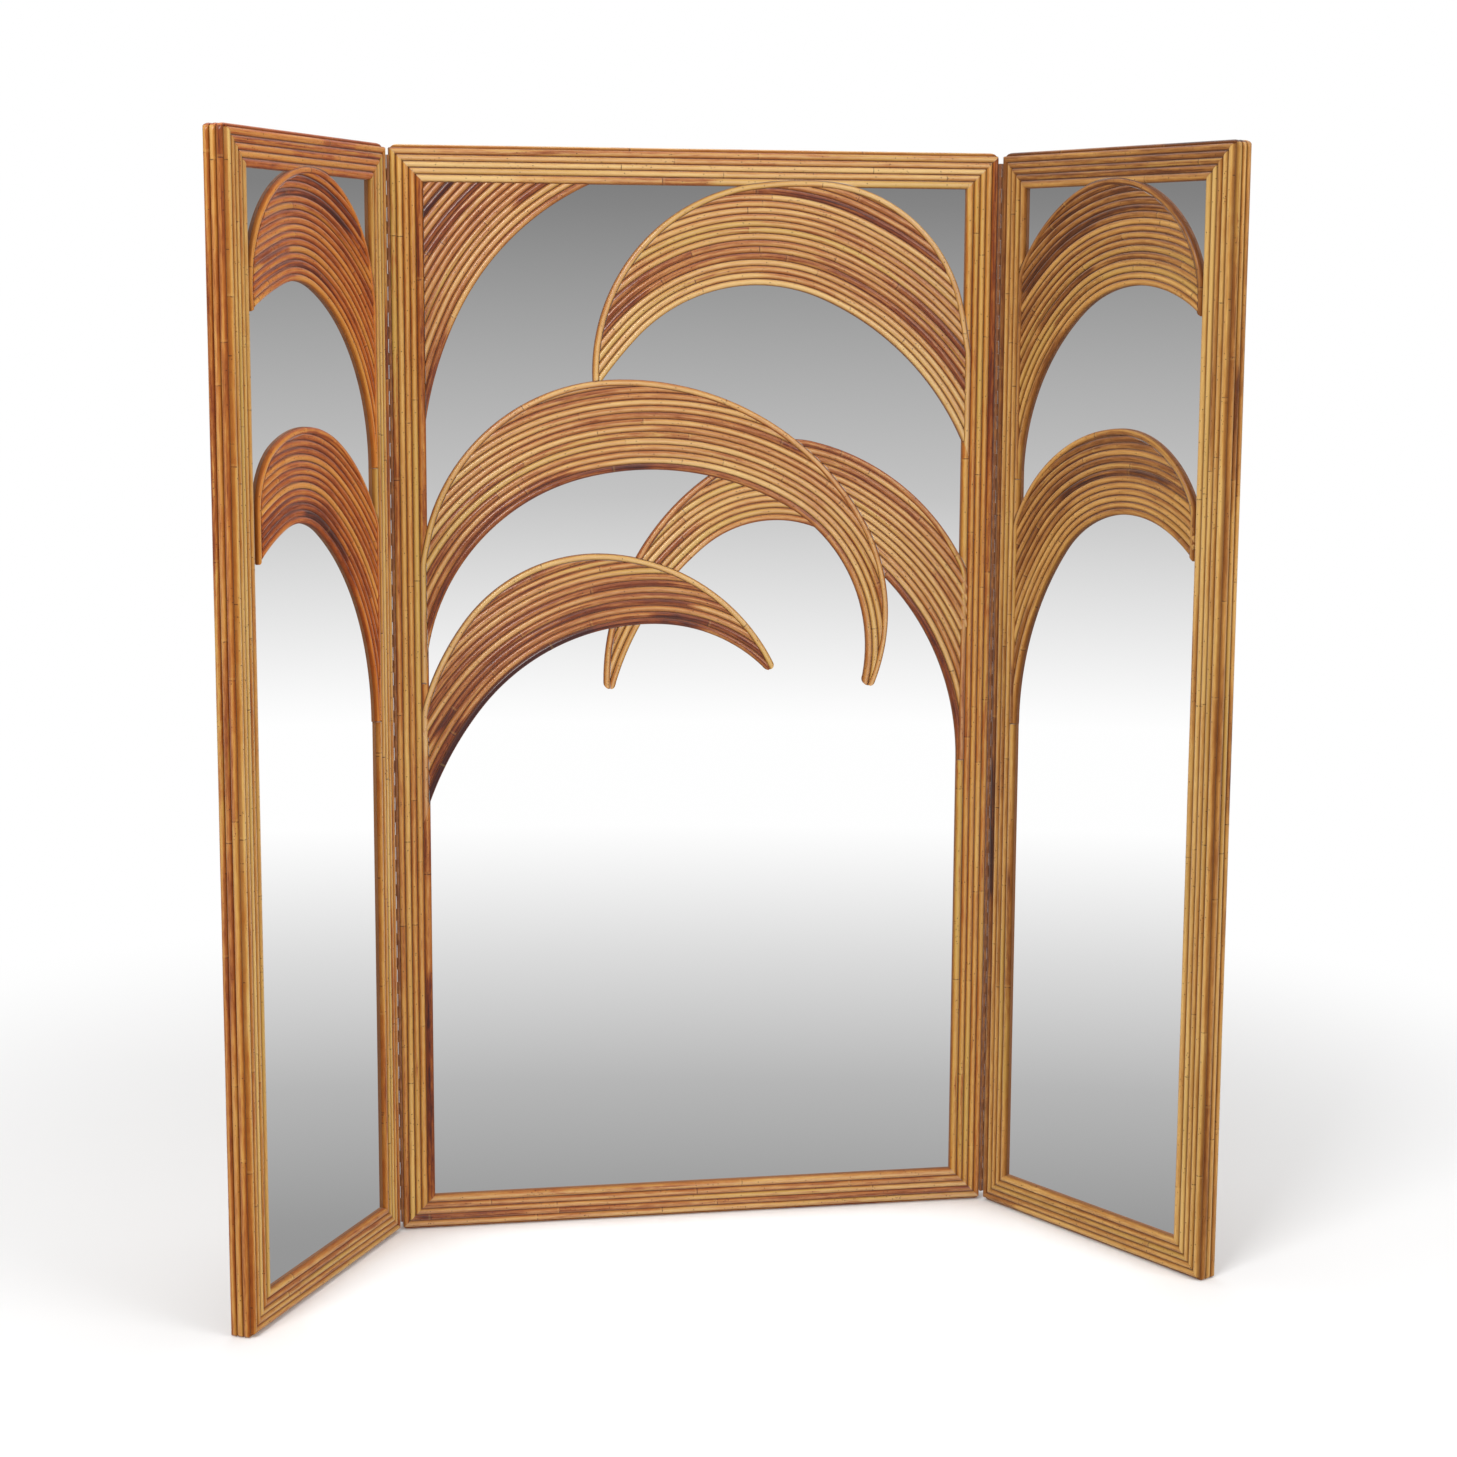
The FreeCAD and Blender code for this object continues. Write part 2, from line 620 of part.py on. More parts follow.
    def notches(self, forward, back):
        """Blocks over the innermost canes of the frame, where they give way to the leaf."""
        if self.leaf.outer is None:
            return []
        over = size("cane_pitch")
        blocks = []
        if self.leaf.near_close == "stile":
            heights = [self.level(edge, -over / 2, -1) for edge in (self.leaf.inner, self.leaf.outer)]
            blocks.append(self.slab((-over, 0.0), heights, forward, back))
        if self.leaf.far_close == "stile" and self.leaf.panel == "centre":
            edges = (self.leaf.inner, self.leaf.outer)
            heights = [self.level(edge, self.width + over / 2, 1) for edge in edges]
            blocks.append(self.slab((self.width, self.width + over), heights, forward, back))
        crown = self.crossings(self.leaf.outer, over / 2)
        if len(crown) > 1:
            blocks.append(self.slab((crown[0], crown[-1]), (0.0, over), forward, back))
        return blocks

    def opening(self, forward, back):
        """Block through the sight opening."""
        return self.slab((0.0, self.width), (self.bottom - self.top, 0.0), forward, back)

    def cover(self):
        """Block over the leaf's part of the front, through the thickness of the canes."""
        reach = self.rise + size("overrun")
        back = size("lip_thickness + overrun")
        field = self.opening(reach, back)
        for notch in self.notches(reach, back):
            field = field.fuse(notch)
        return self.block(self.outline(), reach, back).common(field.removeSplitter())

    def cane(self, edge, offset, span):
        """A cane bent along one edge at an offset, its flat back on the timber's front face."""
        chain = []
        for centre, radius, start, end in self.arcs(edge, offset, TIP_TURN):
            spare = math.degrees(self.pitch / 2 / radius)
            start, end = max(start, span[0] - spare), min(end, span[1] + spare)
            if end - start > spare / 2:
                chain.append((centre, radius, start, end))
        path = Part.Wire(self.curve(chain))
        first = path.Edges[0]
        start = first.valueAt(first.FirstParameter)
        ahead = first.tangentAt(first.FirstParameter)
        up = Vector(0, -1, 0)
        axis_height = self.rise - self.radius
        half_chord = ahead.cross(up) * math.sqrt(self.radius ** 2 - axis_height ** 2)
        low, high = start - half_chord, start + half_chord
        crown = Part.Arc(low, start + up * self.rise, high).toShape()
        section = Part.Wire([crown, Part.makeLine(high, low)])
        return path.makePipe(Part.Face(section))

    def turn(self, piece, end):
        """Angle from straight up at which a piece of an arc ends."""
        away = piece.valueAt(end) - piece.Curve.Center
        return math.degrees(math.atan2(-away.x if self.mirrored else away.x, away.z))

    def spans(self, edge, offset, room):
        """Ranges of angles along a cane in which more than a splinter of its width lies in the room."""
        found = []
        inset = self.radius - SPLINTER_SHARE * self.pitch
        for side in (-inset, inset):
            line = Part.Wire(self.curve(self.arcs(edge, offset + side, TIP_TURN)))
            line.translate(Vector(0, -self.rise / 2, 0))
            for piece in line.common(room).Edges:
                ends = (piece.FirstParameter, piece.LastParameter)
                found.append(sorted(self.turn(piece, end) for end in ends))
        merged = []
        for low, high in sorted(found):
            if merged and low < merged[-1][1] + SAME_TURN:
                merged[-1][1] = max(merged[-1][1], high)
            else:
                merged.append([low, high])
        return merged

    def border_strip(self):
        """Block along the outer edge, over the border cane."""
        reach = self.rise + size("overrun")
        outside = self.curve(self.arcs(self.leaf.outer, size("overrun"), TIP_TURN))
        inside = self.curve(self.arcs(self.leaf.outer, -self.pitch, TIP_TURN))
        ends = [Part.makeLine(a.valueAt(p), b.valueAt(q)) for a, b, p, q in (
            (outside[0], inside[0], outside[0].FirstParameter, inside[0].FirstParameter),
            (outside[-1], inside[-1], outside[-1].LastParameter, inside[-1].LastParameter))]
        face = Part.Face(Part.Wire(Part.__sortEdges__(outside + inside + ends)))
        return self.block(face, reach, size("lip_thickness + overrun"))

    def canes(self, cover):
        """All canes of the leaf: side by side along the inner edge, and a border cane on the outer edge."""
        room = cover if self.leaf.outer is None else cover.cut(self.border_strip())
        rods = []
        for k in itertools.count():
            offset = (k + 0.5) * self.pitch
            spans = self.spans(self.leaf.inner, offset, room)
            if not spans:
                break
            for span in spans:
                rods += self.cane(self.leaf.inner, offset, span).common(room).Solids
        if self.leaf.outer is not None:
            for span in self.spans(self.leaf.outer, -self.pitch / 2, cover):
                rods += self.cane(self.leaf.outer, -self.pitch / 2, span).common(cover).Solids
        offcut = self.pitch ** 3 / 2
        return Part.makeCompound([rod for rod in rods if rod.Volume > offcut])

    def backing(self):
        """Plywood under the canes, inside the sight opening and just clear of the mirror."""
        thickness = size("lip_thickness - leaf_clearance")
        return self.block(self.outline(), 0.0, thickness).common(self.opening(0.0, thickness))


def foliage():
    """Backings and canes of all leaves, front ones cutting those behind; returns each panel's notches."""
    makers = {name: LeafMaker(leaf) for name, leaf in LEAF_SHARES.items()}
    covers = {name: maker.cover() for name, maker in makers.items()}
    notches = {key: [] for key in PANELS}
    for name, leaf in LEAF_SHARES.items():
        panel = PANELS[leaf.panel]
        backing = makers[name].backing()
        for front in leaf.behind:
            backing = backing.cut(covers[front])
            covers[name] = covers[name].cut(covers[front])
        finish(shaped(f"{name}_backing", backing), f"{name}_backing", panel)
        finish(shaped(f"{name}_canes", makers[name].canes(covers[name])), f"{name}_canes", panel)
        notches[leaf.panel] += makers[name].notches(size("cane_rise + overrun"), 0.0)
    return {key: shaped(f"{key}_notches", Part.makeCompound(blocks)) for key, blocks in notches.items()}


def hinges():
    """Both long hinges: a fixed leaf, a moving leaf, a pin and the screws."""
    centre = PANELS["centre"]
    fixed_screws = []
    for side, sign in (("left", -1), ("right", 1)):
        x = AXIS_X if sign > 0 else f"-{AXIS_X}"
        fixed = hinge_leaf(f"{side}_hinge_fixed", -sign, 1)
        fixed.Label = f"{side}_hinge_fixed_leaf"
        stand(fixed, x, AXIS_Y, "0")
        finish(hinge_leaf(f"{side}_hinge_moving", sign, 0), f"{side}_hinge_moving_leaf", PANELS[side])
        pin = add("Part::Cylinder", f"{side}_pin", Radius="hinge_pin_diameter / 2", Height=HINGE_LENGTH)
        pin.Label = f"{side}_hinge_pin"
        stand(pin, x, AXIS_Y, HINGE_BOTTOM)
        parts.extend([fixed, pin])
        screws = scattered(f"{side}_moving_screws", hinge_screw, hinge_screw_places(sign))
        finish(screws, f"{side}_hinge_screws", PANELS[side])
        fixed_screws.append(scattered(f"{side}_fixed_screws", hinge_screw, hinge_screw_places(-sign)))
        stand(fixed_screws[-1], x, AXIS_Y, "0")
    finish(compound("fixed_screws", fixed_screws), "centre_hinge_screws", centre)


leaf_notches = foliage()
for panel_name, one_panel in PANELS.items():
    timber_frame(one_panel)
    frame_canes(one_panel, leaf_notches[panel_name])
hinges()
doc.recompute()

failed = [item.Name for item in doc.Objects if "Invalid" in item.State or "Error" in item.State]
failed += [item.Label for item in parts if item.Shape.isNull() or not item.Shape.isValid()]
if failed:
    raise RuntimeError(f"not built: {failed}")
os.makedirs("parts", exist_ok=True)
for item in parts:
    item.Shape.exportStep(f"parts/{item.Label}.step")
print(f"{len(parts)} sub-parts, {sum(len(item.Shape.Solids) for item in parts)} solids")
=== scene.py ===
"""Folding mirror screen of three cane-clad panels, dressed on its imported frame.

Lengths are in metres. +Z is up, the mirror of the centre panel faces -Y, and the origin lies on the floor
under the middle of the centre panel. Each panel has its own plane with x to the right and z up, seen from
the front.
"""
from __future__ import annotations

import json
import logging
import math
from dataclasses import dataclass, field, replace
from enum import Enum
from types import MappingProxyType
from typing import Any, Callable, Iterable, Mapping, Optional, Sequence, Union

import bpy
import numpy as np
from mathutils import Matrix

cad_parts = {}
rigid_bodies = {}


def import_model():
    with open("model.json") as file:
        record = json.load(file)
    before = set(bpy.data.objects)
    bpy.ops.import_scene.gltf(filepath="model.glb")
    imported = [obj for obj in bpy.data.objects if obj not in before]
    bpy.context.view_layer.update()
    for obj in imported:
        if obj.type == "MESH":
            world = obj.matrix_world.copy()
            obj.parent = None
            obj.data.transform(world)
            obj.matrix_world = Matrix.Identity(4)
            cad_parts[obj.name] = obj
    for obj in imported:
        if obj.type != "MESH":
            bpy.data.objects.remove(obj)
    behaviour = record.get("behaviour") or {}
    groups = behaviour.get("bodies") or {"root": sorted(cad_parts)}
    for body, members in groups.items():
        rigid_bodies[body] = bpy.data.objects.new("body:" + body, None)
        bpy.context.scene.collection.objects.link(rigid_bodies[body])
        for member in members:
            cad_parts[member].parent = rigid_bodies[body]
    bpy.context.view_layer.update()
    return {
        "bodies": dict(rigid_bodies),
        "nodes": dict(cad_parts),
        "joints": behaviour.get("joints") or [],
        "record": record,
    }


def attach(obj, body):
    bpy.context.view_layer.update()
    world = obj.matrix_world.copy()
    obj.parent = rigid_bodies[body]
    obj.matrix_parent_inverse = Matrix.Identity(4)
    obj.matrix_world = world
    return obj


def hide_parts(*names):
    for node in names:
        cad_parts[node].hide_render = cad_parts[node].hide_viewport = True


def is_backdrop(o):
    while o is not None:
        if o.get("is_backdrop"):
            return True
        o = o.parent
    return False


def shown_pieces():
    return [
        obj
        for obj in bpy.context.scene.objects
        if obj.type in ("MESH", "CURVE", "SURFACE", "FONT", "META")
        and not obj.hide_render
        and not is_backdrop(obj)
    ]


LOG = logging.getLogger("mirror_screen")
Array = np.ndarray
Random = np.random.Generator
Material = bpy.types.Material
Object = bpy.types.Object
Colour = tuple[float, float, float]
Room = Callable[[Array, Array], Array]
ToRow = Callable[[Array, Array, Array], Array]
NOTHING: Mapping[Any, Any] = MappingProxyType({})
PHOTO_PIXELS = 1457


class Side(Enum):
    """Side of a panel, with the direction along its canes and the direction outwards, as (x, z)."""
    TOP = ((1, 0), (0, 1))
    RIGHT = ((0, -1), (1, 0))
    BOTTOM = ((-1, 0), (0, -1))
    LEFT = ((0, 1), (-1, 0))


class LeafEnd(Enum):
    """How one end of a leaf finishes: out over a stile, in a rounded tip, or behind another leaf."""
    STILE = "stile"
    TIP = "tip"
    HIDDEN = "hidden"


class Grain(Enum):
    """Row axis along which the grain of a timber runs."""
    UPRIGHT = 2
    ACROSS = 0


def srgb(red: float, green: float, blue: float) -> Colour:
    """Linear colour of an 8-bit display colour.

    Args:
        red, green, blue: display values from 0 to 255.

    Returns:
        The three linear values.
    """
    shares = np.array([red, green, blue]) / 255
    linear = np.where(shares <= 0.04045, shares / 12.92, ((shares + 0.055) / 1.055) ** 2.4)
    return tuple(float(v) for v in linear)


def placed(axes: Sequence[Array], place: Sequence[float]) -> Matrix:
    """Matrix of an object that stands turned at a place.

    Args:
        axes: directions of its x, y and z axes.
        place: its origin.

    Returns:
        The matrix.
    """
    matrix = np.eye(4)
    matrix[:3, :3] = np.stack(axes, 1)
    matrix[:3, 3] = place
    return Matrix(matrix.tolist())


def unit(vector: Array) -> Array:
    """Direction of a vector."""
    return vector / np.linalg.norm(vector)


@dataclass(frozen=True)
class Value:
    """A shader socket that takes part in arithmetic: each operation on it adds a Math node to its tree."""
    graph: Graph
    socket: bpy.types.NodeSocket

    def _math(self, operation: str, first: Operand, second: Operand = 0.0) -> Value:
        """Result of one Math node on two operands."""
        return self.graph.node("ShaderNodeMath", {"operation": operation}, {0: first, 1: second})

    def __add__(self, other: Operand) -> Value:
        """Sum."""
        return self._math("ADD", self, other)

    def __radd__(self, other: Operand) -> Value:
        """Sum with a number first."""
        return self._math("ADD", other, self)

    def __sub__(self, other: Operand) -> Value:
        """Difference."""
        return self._math("SUBTRACT", self, other)

    def __rsub__(self, other: Operand) -> Value:
        """Difference with a number first."""
        return self._math("SUBTRACT", other, self)

    def __mul__(self, other: Operand) -> Value:
        """Product."""
        return self._math("MULTIPLY", self, other)

    def __rmul__(self, other: Operand) -> Value:
        """Product with a number first."""
        return self._math("MULTIPLY", other, self)

    def __truediv__(self, other: Operand) -> Value:
        """Quotient."""
        return self._math("DIVIDE", self, other)

    def __pow__(self, other: Operand) -> Value:
        """Power."""
        return self._math("POWER", self, other)

    def __abs__(self) -> Value:
        """Size without sign."""
        return self._math("ABSOLUTE", self)

    def step(self, low: float, high: float) -> Value:
        """Smooth rise from 0 at low to 1 at high, or a fall where low is above high.

        Args:
            low, high: where the step starts and ends.

        Returns:
            The stepped value.
        """
        stepped = self.graph.node("ShaderNodeMapRange", {"interpolation_type": "SMOOTHSTEP"},
                                  {"Value": self, "From Min": min(low, high), "From Max": max(low, high)})
        return stepped if low < high else 1.0 - stepped


Operand = Union[Value, float, int]


@dataclass(frozen=True)
class Graph:
    """Adds nodes to the tree of one material or of the world."""
    tree: bpy.types.NodeTree

    def node(self, kind: str, settings: Mapping[str, Any] = NOTHING, sockets: Mapping[Any, Any] = NOTHING,
             out: Union[int, str] = 0) -> Optional[Value]:
        """Adds any node.

        Args:
            kind: the node's type.
            settings: its properties, set first; "stops" gives a ramp's positions and colours.
            sockets: values or links of its inputs, by name or number.
            out: the output that is handed back.

        Returns:
            The chosen output, if the node has any.
        """
        made = self.tree.nodes.new(kind)
        for key, setting in settings.items():
            if key == "stops":
                self._set_stops(made.color_ramp, setting)
            else:
                setattr(made, key, setting)
        for key, given in sockets.items():
            if isinstance(given, Value):
                self.tree.links.new(given.socket, made.inputs[key])
            else:
                made.inputs[key].default_value = given
        return Value(self, made.outputs[out]) if len(made.outputs) else None

    @staticmethod
    def _set_stops(ramp: bpy.types.ColorRamp, stops: Sequence[tuple[float, Colour]]) -> None:
        """Gives a ramp its stops.

        Args:
            ramp: the ramp.
            stops: positions and colours in rising order.
        """
        while len(ramp.elements) < len(stops):
            ramp.elements.new(1.0)
        for element, (position, colour) in zip(ramp.elements, stops):
            element.position = position
            element.color = (*colour, 1.0)

    def mix(self, share: Operand, first: Any, second: Any) -> Value:
        """Blends two colours.

        Args:
            share: how much of the second colour is used.
            first, second: colours or links.

        Returns:
            The blended colour.
        """
        full = [c if isinstance(c, Value) else (*c, 1.0) for c in (first, second)]
        return self.node("ShaderNodeMix", {"data_type": "RGBA", "clamp_factor": True},
                         {0: share, 6: full[0], 7: full[1]}, 2)

    def noise(self, place: Union[Value, Sequence[Operand]], detail: float = 3.0, rough: float = 0.5,
              scale: float = 1.0) -> Value:
        """Noise between 0 and 1.

        Args:
            place: where it is read, as a vector or as three values.
            detail: its octaves.
            rough: the weight of the finer octaves.
            scale: its scale.

        Returns:
            The noise value.
        """
        vector = place if isinstance(place, Value) else self.join(*place)
        return self.node("ShaderNodeTexNoise", {"noise_dimensions": "3D"},
                         {"Vector": vector, "Scale": scale, "Detail": detail, "Roughness": rough})

    def join(self, x: Operand, y: Operand, z: Operand) -> Value:
        """Vector of three values."""
        return self.node("ShaderNodeCombineXYZ", sockets={0: x, 1: y, 2: z})

    def split(self, vector: Value) -> tuple[Value, Value, Value]:
        """Three parts of a vector."""
        outputs = self.node("ShaderNodeSeparateXYZ", sockets={0: vector}).socket.node.outputs
        return tuple(Value(self, outputs[i]) for i in range(3))

    def place(self) -> Value:
        """Object coordinates of the piece."""
        return self.node("ShaderNodeTexCoord", out="Object")

    def upright(self, level: float, upwards: float) -> tuple[Value, Value, Value]:
        """Object coordinates in one scale on the level and another upwards."""
        across, deep, up = self.split(self.place())
        return across * level, deep * level, up * upwards

    def attribute(self, name: str) -> Value:
        """Value that a piece carries at its vertices."""
        return self.node("ShaderNodeAttribute", {"attribute_name": name}, out="Fac")

    def bump(self, height: Value, strength: float, distance: float) -> Value:
        """Normal that follows a height."""
        sockets = {"Strength": strength, "Distance": distance, "Height": height}
        return self.node("ShaderNodeBump", sockets=sockets)


def new_material(name: str) -> tuple[Material, Graph]:
    """Makes an empty node material.

    Args:
        name: its name.

    Returns:
        The material and its graph.
    """
    material = bpy.data.materials.new(name)
    material.use_nodes = True
    material.node_tree.nodes.clear()
    return material, Graph(material.node_tree)


@dataclass(frozen=True)
class Finish:
    """A finish that ends in one Principled shader."""
    name: str

    def sockets(self, graph: Graph) -> dict[str, Any]:
        """Values or links of the shader's inputs."""
        raise NotImplementedError

    def material(self) -> Material:
        """Builds the material.

        Returns:
            The material.
        """
        made, graph = new_material(self.name)
        shader = graph.node("ShaderNodeBsdfPrincipled", sockets=self.sockets(graph))
        graph.node("ShaderNodeOutputMaterial", sockets={"Surface": shader})
        return made


@dataclass(frozen=True)
class RattanFinish(Finish):
    """Varnished rattan cane: streaks along it, dark joint rings, painted shade in the grooves, a painted
    crown highlight, a gloss coat.

    The first five colours run from the palest skin to the darkest stain, and shades says where each stands.
    A scale holds the factors along the cane, round it and from cane to cane, and the tint's has none round
    it. A share says how far a mark hides the colour under it. ring holds the half widths at which the line
    of a joint fades out and is full, pale those of the pale band that lies pale_place past it, and relief
    the strength and depth of the bump.
    """
    straw: Colour
    honey: Colour
    amber: Colour
    russet: Colour
    plum: Colour
    # painted shade colour for the grooves between canes
    groove_shade: Colour
    olive: Colour
    # painted highlight colour for the crown of each cane
    painted_highlight: Colour
    coat: float
    shades: tuple[float, ...] = (0.05, 0.33, 0.56, 0.78, 0.97)
    fibre_weight: float = 0.36
    mottle_weight: float = 0.44
    olive_share: float = 0.75
    painted_highlight_share: float = 0.32
    groove_shade_share: float = 0.7
    pale_share: float = 0.14
    ring_share: float = 0.78
    speck_share: float = 0.85
    worn_share: float = 0.25
    streak_scale: tuple[float, float, float] = (7.0, 2.6, 57.0)
    fibre_scale: tuple[float, float, float] = (55.0, 24.0, 91.0)
    mottle_scale: tuple[float, float, float] = (38.0, 2.2, 23.0)
    broken_scale: tuple[float, float, float] = (300.0, 3.0, 11.0)
    speck_scale: tuple[float, float, float] = (210.0, 2.6, 37.0)
    scarce_scale: tuple[float, float, float] = (27.0, 1.1, 71.0)
    tint_scale: tuple[float, float] = (1.6, 131.0)
    ring: tuple[float, float] = (0.0011, 0.0005)
    pale: tuple[float, float] = (0.0026, 0.0006)
    pale_place: float = 0.0028
    coat_rough: float = 0.2
    specular: float = 0.16
    relief: tuple[float, float] = (0.28, 0.0006)

    def sockets(self, graph: Graph) -> dict[str, Any]:
        """Reads the cane's own UV map and values.

        Args:
            graph: the material's graph.

        Returns:
            Values or links of the shader's inputs.
        """
        along, around, _ = graph.split(graph.node("ShaderNodeUVMap", {"uv_map": "UVMap"}))
        cane, tone, ring = (graph.attribute(name) for name in ("cane", "tone", "ring"))

        def stretched(lengthways: float, sideways: float, apart: float) -> tuple[Value, Value, Value]:
            """Place on the cane in a scale for each way, and apart from cane to cane."""
            return along * lengthways, around * sideways, cane * apart

        streaks = graph.noise(stretched(*self.streak_scale), 4.0, 0.6)
        fibres = graph.noise(stretched(*self.fibre_scale), 3.0, 0.65)
        mottle = graph.noise(stretched(*self.mottle_scale), 5.0, 0.62)
        shade = tone + (streaks - 0.5) + (fibres - 0.5) * self.fibre_weight
        shade = shade + (mottle - 0.5) * self.mottle_weight
        skin = self.straw, self.honey, self.amber, self.russet, self.plum
        colour = graph.node("ShaderNodeValToRGB", {"stops": tuple(zip(self.shades, skin))}, {"Fac": shade})
        tint = graph.noise((along * self.tint_scale[0], cane * self.tint_scale[1], 0.0), 2.0)
        tinted = tint.step(0.5, 0.68) * shade.step(0.62, 0.4)
        colour = graph.mix(tinted * self.olive_share, colour, self.olive)
        side = abs(around - 0.5) * 2.0
        # painted highlight: the crown of each cane is blended towards a pale colour along its streaks, less
        # on the darkest canes
        crown = side.step(0.62, 0.05) * (streaks.step(0.25, 0.7) * 0.6 + 0.4)
        colour = graph.mix(crown * shade.step(0.8, 0.35) * self.painted_highlight_share, colour, self.painted_highlight)
        # painted shade: the cane's sides darken towards the grooves between canes; the same mask drops the
        # coat and raises the roughness there
        groove_shade_mask = side.step(0.5, 1.0)
        colour = graph.mix(groove_shade_mask * self.groove_shade_share, colour, self.groove_shade)
        broken = graph.noise(stretched(*self.broken_scale), 2.0)
        line = abs(ring).step(*self.ring) * broken.step(0.38, 0.58)
        pale = abs(ring - self.pale_place).step(*self.pale)
        colour = graph.mix(pale * self.pale_share, colour, self.straw)
        colour = graph.mix(line * self.ring_share, colour, self.plum)
        spots = graph.node("ShaderNodeTexVoronoi", {"feature": "F1"},
                           {"Vector": graph.join(*stretched(*self.speck_scale)), "Scale": 1.0}, "Distance")
        scarce = graph.noise(stretched(*self.scarce_scale), 1.0).step(0.56, 0.62)
        speck = spots.step(0.24, 0.12) * scarce
        colour = graph.mix(speck * self.speck_share, colour, self.plum)
        worn = mottle.step(0.66, 0.78) * side.step(0.6, 0.2)
        colour = graph.mix(worn * self.worn_share, colour, self.straw)
        rough = 0.36 + (mottle - 0.5) * 0.24 + groove_shade_mask * 0.2 + speck * 0.2
        height = fibres * 0.5 + mottle * 0.5 - line * 1.5 - speck * 0.8
        return {"Base Color": colour, "Roughness": rough, "Coat Weight": self.coat * (1.0 - groove_shade_mask),
                "Coat Roughness": self.coat_rough, "Specular IOR Level": self.specular,
                "Normal": graph.bump(height, *self.relief)}


@dataclass(frozen=True)
class MirrorFinish(Finish):
    """Silvered glass with the faintest haze."""
    name: str = "silvered_glass"
    silver: Colour = (0.94, 0.94, 0.94)
    haze: float = 0.012
    cloud_scale: float = 5.0

    def sockets(self, graph: Graph) -> dict[str, Any]:
        """Full metal whose roughness follows a faint cloud."""
        cloud = graph.noise(graph.place(), 4.0, 0.6, self.cloud_scale)
        return {"Base Color": (*self.silver, 1.0), "Metallic": 1.0, "Roughness": cloud * self.haze}


@dataclass(frozen=True)
class TimberFinish(Finish):
    """Sawn timber: grain lines along one axis of its panel, which is turned about Z, and saw marks.

    A scale holds the factors along the grain and across it.
    """
    light: Colour
    dark: Colour
    grain: Grain
    turn: float = 0.0
    grain_scale: tuple[float, float] = (2.2, 95.0)
    broad_scale: tuple[float, float] = (0.9, 14.0)
    saw_scale: tuple[float, float] = (420.0, 6.0)
    relief: tuple[float, float] = (0.35, 0.0006)

    def sockets(self, graph: Graph) -> dict[str, Any]:
        """Reads Object coordinates, turned back to the panel's own axes.

        Args:
            graph: the material's graph.

        Returns:
            Values or links of the shader's inputs.
        """
        place = graph.node("ShaderNodeMapping",
                           sockets={"Vector": graph.place(), "Rotation": (0.0, 0.0, -self.turn)})
        parts = list(graph.split(place))
        run = parts.pop(self.grain.value)

        def stretched(lengthways: float, sideways: float) -> tuple[Value, Value, Value]:
            """Place in one scale along the grain and another across it."""
            return run * lengthways, parts[0] * sideways, parts[1] * sideways

        grain = graph.noise(stretched(*self.grain_scale), 5.0, 0.6)
        broad = graph.noise(stretched(*self.broad_scale))
        saw = graph.noise(stretched(*self.saw_scale), 1.0)
        share = (grain * 0.65 + broad * 0.45 - 0.05).step(0.2, 0.85)
        return {"Base Color": graph.mix(share, self.light, self.dark), "Roughness": 0.52 + grain * 0.25,
                "Normal": graph.bump(grain * 0.7 + saw * 0.3, *self.relief)}


@dataclass(frozen=True)
class HardboardFinish(Finish):
    """Pressed brown fibre board: a fine felted mottle with a few pale scuffs."""
    name: str = "hardboard"
    light: Colour = srgb(152, 112, 74)
    dark: Colour = srgb(96, 66, 42)
    scuff_share: float = 0.35
    felt_scale: float = 260.0
    cloud_scale: float = 3.2
    scuff_scale: tuple[float, float] = (40.0, 6.0)
    relief: tuple[float, float] = (0.3, 0.0004)

    def sockets(self, graph: Graph) -> dict[str, Any]:
        """Reads Object coordinates.

        Args:
            graph: the material's graph.

        Returns:
            Values or links of the shader's inputs.
        """
        place = graph.place()
        felt = graph.noise(place, 4.0, 0.65, self.felt_scale)
        cloud = graph.noise(place, 5.0, 0.6, self.cloud_scale)
        scuff = graph.noise(graph.upright(*self.scuff_scale), 3.0, 0.6).step(0.62, 0.72)
        colour = graph.mix(felt * 0.6 + cloud * 0.4, self.light, self.dark)
        return {"Base Color": graph.mix(scuff * self.scuff_share, colour, self.light),
                "Roughness": 0.55 + felt * 0.2, "Normal": graph.bump(felt, *self.relief)}


@dataclass(frozen=True)
class MetalFinish(Finish):
    """Worn metal: brushed lines up its length and dull tarnish in patches, bare or under a varnish.

    A scale holds the factors on the level and upwards.
    """
    bright: Colour
    tarnish: Colour
    dulled: float
    metallic: float = 1.0
    dull_loss: float = 0.35
    patch_scale: tuple[float, float] = (160.0, 55.0)
    brush_scale: tuple[float, float] = (1500.0, 60.0)
    relief: tuple[float, float] = (0.12, 0.0002)

    def sockets(self, graph: Graph) -> dict[str, Any]:
        """Reads Object coordinates.

        Args:
            graph: the material's graph.

        Returns:
            Values or links of the shader's inputs.
        """
        patch = graph.noise(graph.upright(*self.patch_scale), 4.0, 0.6)
        brush = graph.noise(graph.upright(*self.brush_scale), 2.0)
        dull = patch.step(0.62 - self.dulled, 0.95 - self.dulled)
        return {"Base Color": graph.mix(dull, self.bright, self.tarnish),
                "Metallic": self.metallic - dull * (self.dull_loss * self.metallic),
                "Roughness": 0.28 + dull * 0.3 + brush * 0.12, "Normal": graph.bump(brush, *self.relief)}


